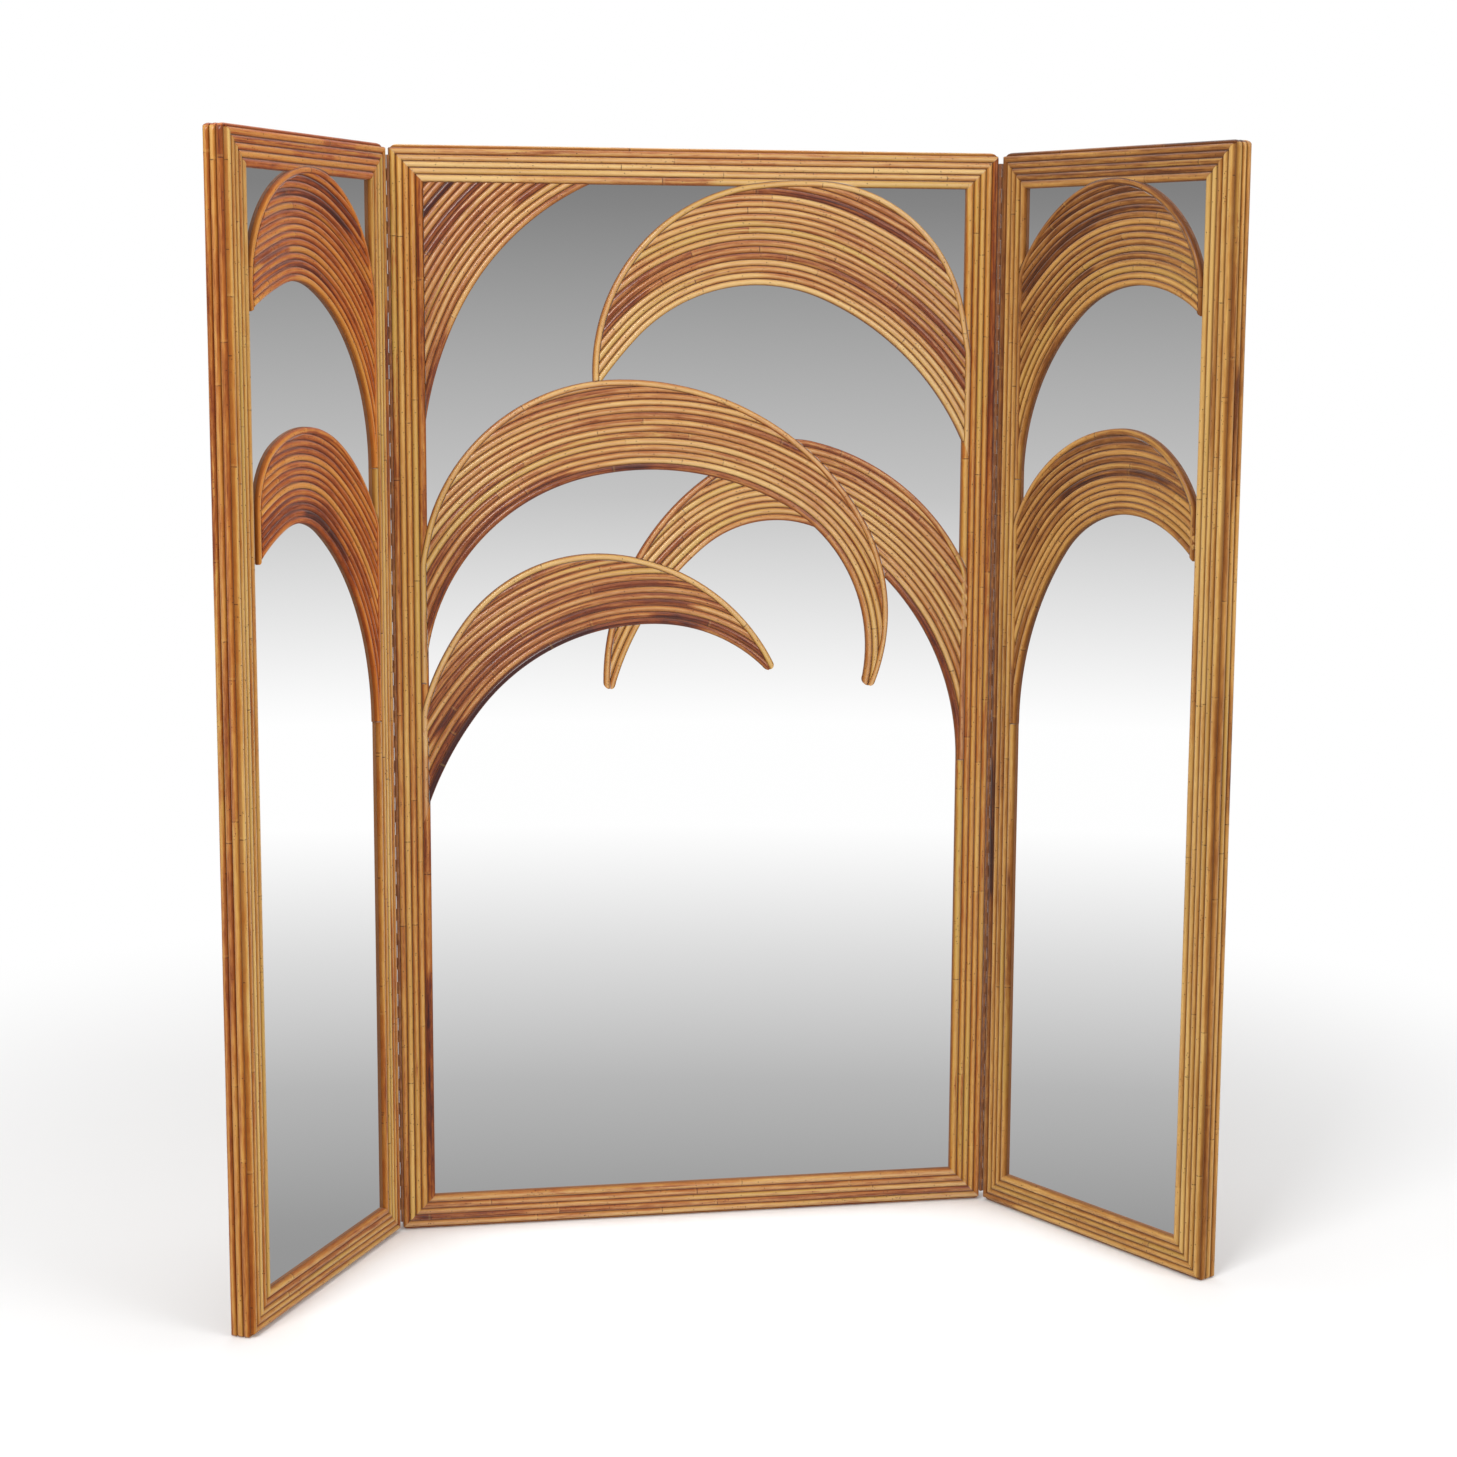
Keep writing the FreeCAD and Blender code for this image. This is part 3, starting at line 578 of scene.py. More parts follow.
@dataclass(frozen=True)
class ScreenSizes:
    """Real sizes shared by the sub-assemblies.

    Panels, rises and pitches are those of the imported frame. The gaps between canes, the shares of the pitch
    that the face rows take from the sight edge outwards, and the rounded corners are the canes' own.
    """
    height: float = 1.8
    centre_width: float = 1.002
    wing_width: float = 0.4935
    fold: float = math.radians(61)
    cane_pitch: float = 0.0108
    cane_gap: float = 0.0003
    cane_rise: float = 0.0075
    edge_rise: float = 0.0055
    floor_flat: float = 0.0005
    row_shares: tuple[float, ...] = (1.16, 0.97, 0.93, 0.94, 1.0)
    edge_canes: int = 3
    leaf_pitch: float = 0.0105
    leaf_gap: float = 0.0003
    leaf_rise: float = 0.0075
    hinge_half_gap: float = 0.002
    hinge_proud: float = 0.0006
    top_corner: float = 0.013
    floor_corner: float = 0.008

    @property
    def core_depth(self) -> float:
        """Depth of the timber."""
        return self.edge_canes * self.cane_pitch

    @property
    def band(self) -> float:
        """Width of a frame's face."""
        return len(self.row_shares) * self.cane_pitch

    @property
    def floor_rise(self) -> float:
        """Height of the timber over the floor."""
        return self.edge_rise - self.floor_flat

    @property
    def sight_bottom(self) -> float:
        """Lower sight line."""
        return self.floor_rise + self.band

    @property
    def sight_top(self) -> float:
        """Upper sight line."""
        return self.height - self.edge_rise - self.band

    @property
    def axis_to_core(self) -> float:
        """Distance of a hinge axis in front of the timber."""
        return self.cane_rise + self.hinge_proud


@dataclass(frozen=True)
class Panel:
    """One panel: its timber's sides and front face in its own frame, and the turn and place of that frame.

    frame holds the finish and the tone of the canes on each side, and leaf_finish that of the leaves.
    """
    name: str
    body: str
    low: float
    high: float
    front: float
    hinge_sides: tuple[Side, ...]
    stiles: Mapping[Side, str]
    turn: float
    pivot: tuple[float, float]
    leaf_finish: RattanFinish
    frame: Mapping[Side, tuple[RattanFinish, float]]
    sizes: ScreenSizes

    @property
    def sight_low(self) -> float:
        """Left sight line."""
        return self.low + self.sizes.band

    @property
    def sight_high(self) -> float:
        """Right sight line."""
        return self.high - self.sizes.band

    def rise(self, side: Side) -> float:
        """How far the edge canes of a side stand out of the timber.

        Args:
            side: the side.

        Returns:
            The rise, which is zero at a hinge.
        """
        if side in self.hinge_sides:
            return 0.0
        return self.sizes.floor_rise if side is Side.BOTTOM else self.sizes.edge_rise

    def node(self, side: Side) -> str:
        """Name of the frame's cane node on a side."""
        member = {Side.TOP: "top_rail", Side.BOTTOM: "bottom_rail"}.get(side) or self.stiles[side]
        return f"{self.name}_{member}_canes"

    def to_row(self, x: Array, forward: Array, z: Array) -> Array:
        """Row-frame points: the panel's plane is turned about Z and moved to its pivot.

        Args:
            x, z: places in the panel's plane.
            forward: distances in front of the timber's front face.

        Returns:
            Points with the three coordinates in the last axis.
        """
        y = self.front - forward
        cos, sin = math.cos(self.turn), math.sin(self.turn)
        return np.stack([self.pivot[0] + x * cos - y * sin, self.pivot[1] + x * sin + y * cos, z + 0 * x], -1)

    def direction(self, x: float, forward: float, z: float) -> Array:
        """Row-frame direction of a direction in the panel's frame."""
        return self.to_row(np.array(x), np.array(forward), np.array(z)) - self.to_row(*np.zeros(3))

    def rounded(self, x: Array, z: Array) -> tuple[Array, Array]:
        """Pulls places beyond the panel's outer corners in to a quarter circle.

        Args:
            x, z: places in the panel's plane.

        Returns:
            The places with rounded corners.
        """
        sizes = self.sizes
        low, high = self.low - self.rise(Side.LEFT), self.high + self.rise(Side.RIGHT)
        for corner_x, inward in ((low, 1), (high, -1)):
            for corner_z, radius, up in ((sizes.height, sizes.top_corner, -1), (0.0, sizes.floor_corner, 1)):
                beyond_x = (corner_x + inward * radius - x) * inward
                beyond_z = (corner_z + up * radius - z) * up
                reach = np.hypot(beyond_x, beyond_z)
                beyond = (beyond_x > 0) & (beyond_z > 0) & (reach > radius)
                shrink = np.where(beyond, radius / np.maximum(reach, 1e-9), 1)
                x = x + inward * beyond_x * (1 - shrink)
                z = z + up * beyond_z * (1 - shrink)
        return x, z


@dataclass
class Piece:
    """A mesh while it grows: points, polygons, UV places and values at the points."""
    name: str
    points: list[Array] = field(default_factory=list)
    places: list[Array] = field(default_factory=list)
    values: dict[str, list[Array]] = field(default_factory=dict)
    loops: list[Array] = field(default_factory=list)
    corners: list[Array] = field(default_factory=list)
    count: int = 0

    def add_grid(self, grid: Array, uv: Array, values: Mapping[str, Array], outward: Array) -> None:
        """Adds a tube given as a grid of points: rows follow its length and columns go round it.

        Quad faces join neighbouring rows and columns, the last column joins the first, and both ends are
        closed.

        Args:
            grid: points by row, column and coordinate.
            uv: UV places by row, column and part.
            values: values by row and column.
            outward: direction in which the middle column looks out.
        """
        rows, columns = grid.shape[:2]
        index = self.count + np.arange(rows * columns).reshape(rows, columns)
        after = np.roll(index, -1, axis=1)
        quads = np.stack([index[:-1], index[1:], after[1:], after[:-1]], -1).reshape(-1, 4)
        ends = [index[0], index[-1][::-1]]
        middle = columns // 2
        row = rows // 2 - (rows // 2 == rows - 1)
        here = grid[row, middle]
        normal = np.cross(grid[row + 1, middle] - here, grid[row, middle + 1] - here)
        if normal @ outward < 0:
            quads, ends = quads[:, ::-1], [end[::-1] for end in ends]
        self.points.append(grid.reshape(-1, 3))
        self.places.append(uv.reshape(-1, 2))
        for key, given in values.items():
            self.values.setdefault(key, []).append(np.broadcast_to(given, (rows, columns)).reshape(-1))
        self.loops += [quads.reshape(-1), *ends]
        self.corners += [np.full(len(quads), 4), *(np.array([len(end)]) for end in ends)]
        self.count += rows * columns

    def build(self, material: Material, sharp: float = 50.0) -> Object:
        """Makes the object at the origin.

        Args:
            material: its finish.
            sharp: angle in degrees above which an edge stays sharp.

        Returns:
            The object.
        """
        mesh = bpy.data.meshes.new(self.name)
        loops, corners = np.concatenate(self.loops), np.concatenate(self.corners)
        mesh.vertices.add(self.count)
        mesh.vertices.foreach_set("co", np.concatenate(self.points).astype(np.float32).reshape(-1))
        mesh.loops.add(len(loops))
        mesh.loops.foreach_set("vertex_index", loops.astype(np.int32))
        mesh.polygons.add(len(corners))
        mesh.polygons.foreach_set("loop_start", (np.cumsum(corners) - corners).astype(np.int32))
        mesh.update(calc_edges=True)
        layer = mesh.uv_layers.new(name="UVMap")
        layer.data.foreach_set("uv", np.concatenate(self.places)[loops].astype(np.float32).reshape(-1))
        for key, given in self.values.items():
            store = mesh.attributes.new(key, "FLOAT", "POINT")
            store.data.foreach_set("value", np.concatenate(given).astype(np.float32))
        mesh.validate()
        mesh.shade_smooth()
        mesh.set_sharp_from_angle(angle=math.radians(sharp))
        mesh.materials.append(material)
        made = bpy.data.objects.new(self.name, mesh)
        bpy.context.scene.collection.objects.link(made)
        return made


@dataclass(frozen=True)
class Stain:
    """A dark stretch on one row of a leaf: shares of the row's length where it starts and ends, and depth."""
    row: int
    start: float
    end: float
    depth: float
    blur_share: float = 0.06
    least_blur: float = 0.01

    def shade(self, way: Array) -> Array:
        """How much it darkens a cane: its depth, faded in and out over a short blur.

        Args:
            way: shares of the cane's length.

        Returns:
            The rise of the tone there.
        """
        blur = self.blur_share * (self.end - self.start) + self.least_blur
        fade_in, fade_out = (np.clip(edge / blur + 0.5, 0, 1) for edge in (way - self.start, self.end - way))
        return fade_in * fade_out * self.depth


@dataclass(frozen=True)
class CaneLine:
    """The line of one cane in its panel's plane.

    place gives (x, z) at steps along the line and at distances sideways. length holds the way along at each
    step.
    """
    place: Callable[[Array, Array], tuple[Array, Array]]
    steps: Array
    length: Array


@dataclass
class Nails:
    """Small round heads of the nails that hold the canes of one panel."""
    panel: Panel
    head: float = 0.00085
    stand: float = 0.00025
    sunk_share: float = 0.2
    spokes: int = 8
    dome_angles: tuple[float, ...] = (100.0, 75.0, 35.0)
    sharp: float = 80.0
    heads: list[tuple[Array, Array]] = field(default_factory=list)

    def add(self, places: Array, outward: Array) -> None:
        """Notes the places of some heads and the direction in which they look."""
        self.heads += [(place, outward) for place in places]

    def build(self, material: Material) -> Object:
        """Makes all heads as low domes: radius by the sine and height by the cosine of the dome's angle.

        Args:
            material: their finish.

        Returns:
            The object.
        """
        piece = Piece(f"{self.panel.name}_nails")
        turn = np.arange(self.spokes) * 2 * math.pi / self.spokes
        dome = np.radians(self.dome_angles)
        radius = self.head * np.sin(dome)[:, None, None]
        rise = self.stand * np.cos(dome) / math.cos(dome[-1]) - self.stand * self.sunk_share
        height = rise[:, None, None]
        for place, outward in self.heads:
            first = unit(np.cross(outward, [0, 0, 1] if abs(outward[2]) < 0.9 else [1, 0, 0]))
            second = np.cross(outward, first)
            ring = np.cos(turn)[:, None] * first + np.sin(turn)[:, None] * second
            grid = place + radius * ring[None] + height * outward
            piece.add_grid(grid, np.zeros((*grid.shape[:2], 2)), {}, ring[self.spokes // 2])
        made = piece.build(material, self.sharp)
        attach(made, self.panel.body)
        return made


@dataclass
class CaneMaker:
    """Makes canes with flat backs, rings and slight unevenness, trimmed to the room that they have.

    radius, axis_height and cap shape the section. Of the steps along a line every stride-th is kept, and all
    of them near rings, trimmed ends and the dense stretch at either end. A span holds the least and the most
    of what is drawn: the way between rings, the phases and waves of the unevenness, the middle, half length
    and depth of a chance stain, the way between nails. ring_swell and ring_groove hold the share and the
    half width of the bulge at a ring and of the notch in it, and tone_wave the height and the slowing of a
    slow change of tone.
    """
    piece: Piece
    nails: Nails
    random: Random
    radius: float
    axis_height: float
    cap: float
    dense: float = 0.0
    columns: int = 11
    window: int = 25
    stride: int = 5
    least_width: float = 0.0009
    least_length: float = 0.006
    least_height: float = 0.0004
    section_end: float = math.radians(104)
    trimmed_share: float = 0.985
    foot_share: float = 0.9
    widest_swell: float = 1.03
    trim_change: float = 0.0002
    ring_reach: float = 0.004
    ring_span: tuple[float, float] = (0.2, 0.62)
    ring_swell: tuple[float, float] = (0.035, 0.003)
    ring_groove: tuple[float, float] = (0.02, 0.0008)
    phase_span: tuple[float, float] = (0, 6.283)
    wave_span: tuple[float, float] = (7, 30)
    uneven: tuple[float, float] = (0.012, 0.008)
    tone_wave: tuple[float, float] = (0.05, 0.35)
    joint_spread: float = 0.055
    stain_span: tuple[tuple[float, ...], tuple[float, ...]] = ((0, 0.05, 0.08), (1, 0.2, 0.28))
    stain_chance: float = 0.4
    nail_span: tuple[float, float] = (0.10, 0.15)
    nail_place: tuple[float, float] = (0.25, 0.75)
    nail_aside: float = 0.12
    nailed_length: float = 0.04

    def trim(self, line: CaneLine, room: Room) -> list[tuple[Array, Array, Array]]:
        """Finds the stretches of a line that lie in a room, and how wide the cane may be there.

        At each step the signed distance into the room is read on a row of places across the cane. Straight
        lines between neighbouring places give where it crosses zero on either side.

        Args:
            line: the cane's line.
            room: signed distance into the room, positive inside.

        Returns:
            For each stretch, its step numbers and its lowest and highest place across the cane.
        """
        across = np.linspace(-self.radius, self.radius, self.window)
        depth = room(*line.place(line.steps[:, None], across[None, :]))
        inside = depth > 0
        rows = np.arange(len(depth))
        first = inside.argmax(1)
        last = self.window - 1 - inside[:, ::-1].argmax(1)
        before, beyond = np.maximum(first - 1, 0), np.minimum(last + 1, self.window - 1)

        def crossing(a: Array, b: Array) -> Array:
            """Place where the depth is zero.

            Args:
                a, b: numbers of two columns at each step.

            Returns:
                Places across the cane.
            """
            low, high = depth[rows, a], depth[rows, b]
            share = np.where(a == b, 0, low / np.where(np.abs(low - high) < 1e-12, 1, low - high))
            return across[a] + np.clip(share, 0, 1) * (across[b] - across[a])

        low = np.where(first > 0, crossing(first, before), -self.radius)
        high = np.where(last < self.window - 1, crossing(last, beyond), self.radius)
        keep = inside.any(1) & (high - low > self.least_width)
        bounds = np.flatnonzero(np.diff(np.concatenate([[0], keep.astype(int), [0]])))
        return [(np.arange(start, end), low[start:end], high[start:end])
                for start, end in zip(bounds[::2], bounds[1::2])
                if end - start > 2 and line.length[end - 1] - line.length[start] > self.least_length]

    def _rings(self, total: float) -> Array:
        """Draws the rings of a cane.

        Args:
            total: its length.

        Returns:
            Their places along it.
        """
        least, most = self.ring_span
        first = self.random.uniform(0, 2 * least) - least
        return first + np.cumsum(self.random.uniform(least, most, int(total / least) + 3))

    def _kept(self, length: Array, gap: Array, low: Array, high: Array) -> Array:
        """Which steps of a stretch become rows of its mesh.

        Args:
            length: way along at each step.
            gap: distance from the nearest ring.
            low, high: sides of the trimmed cane.

        Returns:
            True at the steps to keep.
        """
        moving = np.abs(np.gradient(low)) + np.abs(np.gradient(high)) > self.trim_change
        keep = (np.arange(len(length)) % self.stride == 0) | moving | (np.abs(gap) < self.ring_reach)
        keep |= (length - length[0] < self.dense) | (length[-1] - length < self.dense)
        keep[[0, -1]] = True
        return keep

    def _section(self, low: Array, high: Array, swell: Array) -> tuple[Array, Array]:
        """Sections along a stretch: an arc of a circle with a flat back.

        Place across = r sin(a) and height = axis + r cos(a), with a between the angles of the trimmed sides.

        Args:
            low, high: sides of the trimmed cane at each step.
            swell: factor on the radius at each step.

        Returns:
            Places across and heights, by step and column.
        """
        radius, full = self.radius, self.section_end
        limit = self.trimmed_share * radius
        start = np.where(low > -limit, np.arcsin(np.clip(low / radius, -1, 1)), -full)
        end = np.where(high < limit, np.arcsin(np.clip(high / radius, -1, 1)), full)
        angle = start[:, None] + (end - start)[:, None] * np.linspace(0, 1, self.columns - 2)[None, :]
        across = radius * np.sin(angle) * np.minimum(swell, self.widest_swell)[:, None]
        arc = self.axis_height + radius * np.cos(angle) * swell[:, None]
        height = np.clip(arc, self.least_height, self.cap)
        feet = [np.clip(sign * self.foot_share * radius, low, high)[:, None] for sign in (-1, 1)]
        flat = 0 * feet[0]
        return np.concatenate([feet[0], across, feet[1]], 1), np.concatenate([flat, height, flat], 1)

    def lay(self, line: CaneLine, room: Room, tone: float, outward: Array, to_row: ToRow,
            stains: Iterable[Stain] = (), nailed: bool = True) -> None:
        """Lays one cane along a line, swollen by a bell curve at each ring and slightly uneven between them.

        Args:
            line: the cane's line.
            room: signed distance into the room that it may fill.
            tone: how dark it is, from 0 to 1.
            outward: direction in which its crown looks.
            to_row: row-frame points from steps, places across and heights.
            stains: dark stretches.
            nailed: whether it is held by nails.
        """
        number = self.random.uniform()
        rings = self._rings(line.length[-1])
        knots = np.concatenate([[-1], rings, [line.length[-1] + 1]])
        shades = self.random.normal(0, self.joint_spread, len(knots))
        phases, waves = (self.random.uniform(*span, 3) for span in (self.phase_span, self.wave_span))
        middle, reach, depth = self.random.uniform(*self.stain_span)
        stained = self.random.uniform() < self.stain_chance
        chance = Stain(0, middle - reach, middle + reach, depth if stained else 0.0)
        (bulge, bulge_half), (notch, notch_half) = self.ring_swell, self.ring_groove
        for numbers, low, high in self.trim(line, room):
            length = line.length[numbers]
            gap = length - rings[np.argmin(np.abs(length[:, None] - rings[None, :]), 1)]
            keep = self._kept(length, gap, low, high)
            length, gap, low, high, steps = (v[keep] for v in (length, gap, low, high, line.steps[numbers]))
            swell = 1 + bulge * np.exp(-(gap / bulge_half) ** 2) - notch * np.exp(-(gap / notch_half) ** 2)
            bends = [np.sin(length * waves[i] + phases[i]) for i in (0, 1)]
            swell *= 1 + self.uneven[0] * bends[0] + self.uneven[1] * bends[1]
            across, height = self._section(low, high, swell)
            drift, stretch = self.tone_wave
            shade = tone + drift * np.sin(length * waves[2] * stretch + phases[2])
            shade = shade + shades[np.searchsorted(knots, length) - 1]
            for stain in (*stains, chance):
                shade = shade + stain.shade(length / line.length[-1])
            uv = np.stack(np.broadcast_arrays(length[:, None], 0.5 + across / (2 * self.radius)), -1)
            values = {"cane": np.full((1, 1), number), "tone": shade[:, None], "ring": gap[:, None]}
            self.piece.add_grid(to_row(steps[:, None], across, height), uv, values, outward)
            if nailed:
                self._nail(line, numbers, to_row, outward)

    def _nail(self, line: CaneLine, numbers: Array, to_row: ToRow, outward: Array) -> None:
        """Drives nails through a stretch of cane.

        Args:
            line: the cane's line.
            numbers: steps of the stretch.
            to_row: row-frame points from steps, places across and heights.
            outward: direction of the heads.
        """
        length = line.length[numbers]
        span = length[-1] - length[0]
        if span < self.nailed_length:
            return
        count = max(1, int(span / self.random.uniform(*self.nail_span)))
        ways = length[0] + span * (np.arange(count) + self.random.uniform(*self.nail_place, count)) / count
        steps = np.interp(ways, line.length, line.steps)
        aside = self.random.uniform(-self.nail_aside, self.nail_aside, count) * self.radius
        level = np.minimum(self.axis_height + np.sqrt(self.radius ** 2 - aside ** 2), self.cap)
        self.nails.add(to_row(steps[:, None], aside[:, None], level[:, None])[:, 0], outward)


@dataclass(frozen=True)
class LeafEdge:
    """One edge of a leaf, in shares of the sight width: a top arc that goes on as a side arc each way.

    The arcs touch smoothly. across runs from the near sight line and down from the top sight line, both to
    the apex. Each side has the angle from the apex at which its arc takes over, that arc's radius and its
    last angle.
    """
    across: float
    down: float
    top: float
    near_turn: float
    near: float
    near_end: float
    far_turn: float
    far: float
    far_end: float


@dataclass(frozen=True)
class EdgeCurve:
    """An edge in metres on its panel, from the near sight line and the top sight line."""
    edge: LeafEdge
    width: float

    def arcs(self) -> tuple[Array, Array, Array]:
        """Centres and radii of the near, top and far arcs, and the two angles where they meet.

        A side arc's centre lies on the line from the top arc's centre to the place where they meet.

        Returns:
            Centres, radii and angles in radians.
        """
        edge, width = self.edge, self.width
        radii = np.array([edge.near, edge.top, edge.far]) * width
        turns = np.radians([-edge.near_turn, 0, edge.far_turn])
        top = np.array([edge.across * width, -(edge.down + edge.top) * width])
        centres = top + (radii[1] - radii)[:, None] * np.stack([np.sin(turns), np.cos(turns)], -1)
        return centres, radii, turns[[0, 2]]

    def place(self, angle: Array, offset: Array) -> tuple[Array, Array]:
        """Place on the edge, moved outwards: centre + (radius + offset) (sin, cos) of the arc at the angle.

        Args:
            angle: angles from straight up in radians.
            offset: distances outwards.

        Returns:
            Distances across and heights.
        """
        centres, radii, turns = self.arcs()
        which = np.searchsorted(turns, angle)
        reach = radii[which] + offset
        return centres[which, 0] + reach * np.sin(angle), centres[which, 1] + reach * np.cos(angle)

    def depth(self, across: Array, height: Array) -> Array:
        """Signed distance inside the edge: the radius less the distance to the centre of the sector's arc.

        Args:
            across, height: places on the panel.

        Returns:
            Distances, positive inside.
        """
        centres, radii, turns = self.arcs()
        side = across - centres[1, 0], height - centres[1, 1]
        near = -side[0] * np.cos(turns[0]) + side[1] * np.sin(turns[0])
        far = side[0] * np.cos(turns[1]) - side[1] * np.sin(turns[1])
        which = np.where((near > 0) & (side[0] < 0), 0, np.where((far > 0) & (side[0] >= 0), 2, 1))
        return radii[which] - np.hypot(across - centres[which, 0], height - centres[which, 1])

    def end(self, near: bool) -> float:
        """Last angle on one side, in radians."""
        return math.radians(-self.edge.near_end if near else self.edge.far_end)

    def end_place(self, near: bool) -> Array:
        """Place of the last angle on one side."""
        return np.array(self.place(np.array(self.end(near)), 0.0))


@dataclass
class PalmLeaf:
    """A crescent of canes bent side by side along its inner edge, with a border cane on its outer edge.

    bands gives rows from which a tone holds, and each row past darker_from is darker by darker. behind names
    the leaves in front of it. From its end on a stile a border goes straight on, for straight_share of the
    height left at most, and least_slope is the least sideways share of that way.
    """
    name: str
    panel: Panel
    inner: LeafEdge
    outer: Optional[LeafEdge]
    near_close: LeafEnd
    far_close: LeafEnd
    bands: tuple[tuple[int, float], ...]
    border_tone: float = 0.3
    stains: tuple[Stain, ...] = ()
    behind: tuple[PalmLeaf, ...] = ()
    darker: float = 0.0
    darker_from: int = 5
    tone_spread: float = 0.085
    step: float = 0.0012
    samples: int = 6000
    spare_angle: float = math.radians(7)
    spare_drop: float = 0.03
    run_samples: tuple[int, int] = (200, 100)
    bend_window: int = 17
    tip_reach: float = 0.3
    least_slope: float = 0.02
    straight_share: float = 0.8
    filled_share: float = 0.9

    @property
    def width(self) -> float:
        """Sight width of the panel."""
        return self.panel.sight_high - self.panel.sight_low

    @property
    def mirrored(self) -> bool:
        """Whether the near side is on the right."""
        return self.panel.name == "left"

    def tone(self, row: int) -> float:
        """How dark a row is."""
        base = [tone for first, tone in self.bands if first <= row][-1]
        return base + self.darker * max(row - self.darker_from, 0)

    def on_panel(self, across: Array, height: Array) -> tuple[Array, Array]:
        """Panel places of distances from the near sight line and from the top sight line."""
        x = self.panel.sight_high - across if self.mirrored else self.panel.sight_low + across
        return x, self.panel.sizes.sight_top + height

    def from_panel(self, x: Array, z: Array) -> tuple[Array, Array]:
        """Distances from the near sight line and from the top sight line of panel places."""
        across = self.panel.sight_high - x if self.mirrored else x - self.panel.sight_low
        return across, z - self.panel.sizes.sight_top

    def ends(self) -> tuple[tuple[LeafEnd, bool, float], ...]:
        """How each end closes, whether it is the near one, and where the field ends there."""
        near, far = self.reach()
        return (self.near_close, True, near), (self.far_close, False, far)

    def reach(self) -> tuple[float, float]:
        """Both sides of the leaf's field, from the near sight line."""
        grow = 0.0 if self.outer is None else self.panel.sizes.cane_pitch * self.panel.sizes.row_shares[0]
        return -grow, self.width + (grow if self.panel.name == "centre" else 0.0)

    def _beside(self, across: Array, near: bool) -> Array:
        """Whether places lie in the half of one end."""
        return across < self.width / 2 if near else across > self.width / 2

    def inside(self, across: Array, height: Array) -> Array:
        """Signed distance into the leaf: between its edges, in its tips, above its stile ends, in its field.

        Args:
            across, height: places from the near and top sight lines.

        Returns:
            Distances, positive inside.
        """
        inner = EdgeCurve(self.inner, self.width)
        depth = -inner.depth(across, height)
        if self.outer is not None:
            outer = EdgeCurve(self.outer, self.width)
            depth = np.minimum(depth, self._outer_depth(outer, across, height))
            for close, near, _ in self.ends():
                if close is LeafEnd.TIP:
                    depth = self._tip(depth, (across, height), (inner, outer), near)
                elif close is LeafEnd.STILE:
                    above = np.minimum(depth, height - self._level(inner, near))
                    depth = np.where(self._beside(across, near), above, depth)
        return np.minimum(depth, self.field(across, height))

    def _level(self, inner: EdgeCurve, near: bool) -> float:
        """Height at which an end on a stile stops: the inner edge's end, or lower the flatter it is there."""
        return inner.end_place(near)[1] - self.spare_drop * max(math.cos(inner.end(near)), 0.0)

    def _outer_depth(self, outer: EdgeCurve, across: Array, height: Array) -> Array:
        """Signed distance inside the outer edge, or below an end on a stile inside its tangent and the field.

        Args:
            outer: the outer edge.
            across, height: places from the near and top sight lines.

        Returns:
            Distances, positive inside.
        """
        depth = outer.depth(across, height)
        for close, near, side in self.ends():
            if close is LeafEnd.STILE:
                angle, end = outer.end(near), outer.end_place(near)
                tangent = -(across - end[0]) * math.sin(angle) - (height - end[1]) * math.cos(angle)
                straight = np.minimum(tangent, across - side if near else side - across)
                depth = np.where(self._beside(across, near) & (height < end[1]), straight, depth)
        return depth

    def _tip(self, depth: Array, places: Sequence[Array], edges: Sequence[EdgeCurve], near: bool) -> Array:
        """Rounds one end: beyond the line between both edges' ends, a circle about its middle takes over.

        Args:
            depth: signed distances so far.
            places: their distances from the near and top sight lines.
            edges: the inner and the outer edge.
            near: which end.

        Returns:
            The signed distances with the tip.
        """
        ends = [edge.end_place(near) for edge in edges]
        middle, radius = (ends[0] + ends[1]) / 2, np.linalg.norm(ends[0] - ends[1]) / 2
        angle = edges[1].end(near)
        ahead = np.array([math.cos(angle), -math.sin(angle)]) * (-1 if near else 1)
        side = places[0] - middle[0], places[1] - middle[1]
        reach = np.hypot(*side)
        past = (side[0] * ahead[0] + side[1] * ahead[1] > 0) & (reach < self.tip_reach * self.width)
        return np.where(past, radius - reach, depth)

    def field(self, across: Array, height: Array) -> Array:
        """Signed distance into the sight opening, grown over the innermost canes of the frame.

        Args:
            across, height: places from the near and top sight lines.

        Returns:
            Distances, positive inside.
        """
        near, far = self.reach()
        return np.minimum(np.minimum(across - near, far - across), -near - height)

    def line(self, curve: EdgeCurve, offset: float) -> CaneLine:
        """Line of one cane beside an edge.

        Args:
            curve: the edge.
            offset: its distance outwards.

        Returns:
            The line, with angles as its steps.
        """
        low, high = curve.end(True) - self.spare_angle, curve.end(False) + self.spare_angle
        steps = np.linspace(low, high, self.samples)
        across, height = curve.place(steps, offset)
        length = np.concatenate([[0], np.cumsum(np.hypot(np.diff(across), np.diff(height)))])
        even = np.linspace(0, length[-1], int(length[-1] / self.step) + 2)

        def place(angle: Array, aside: Array) -> tuple[Array, Array]:
            """Panel place at an angle and a distance sideways."""
            return curve.place(angle, offset + aside)
        return CaneLine(place, np.interp(even, length, steps), even)

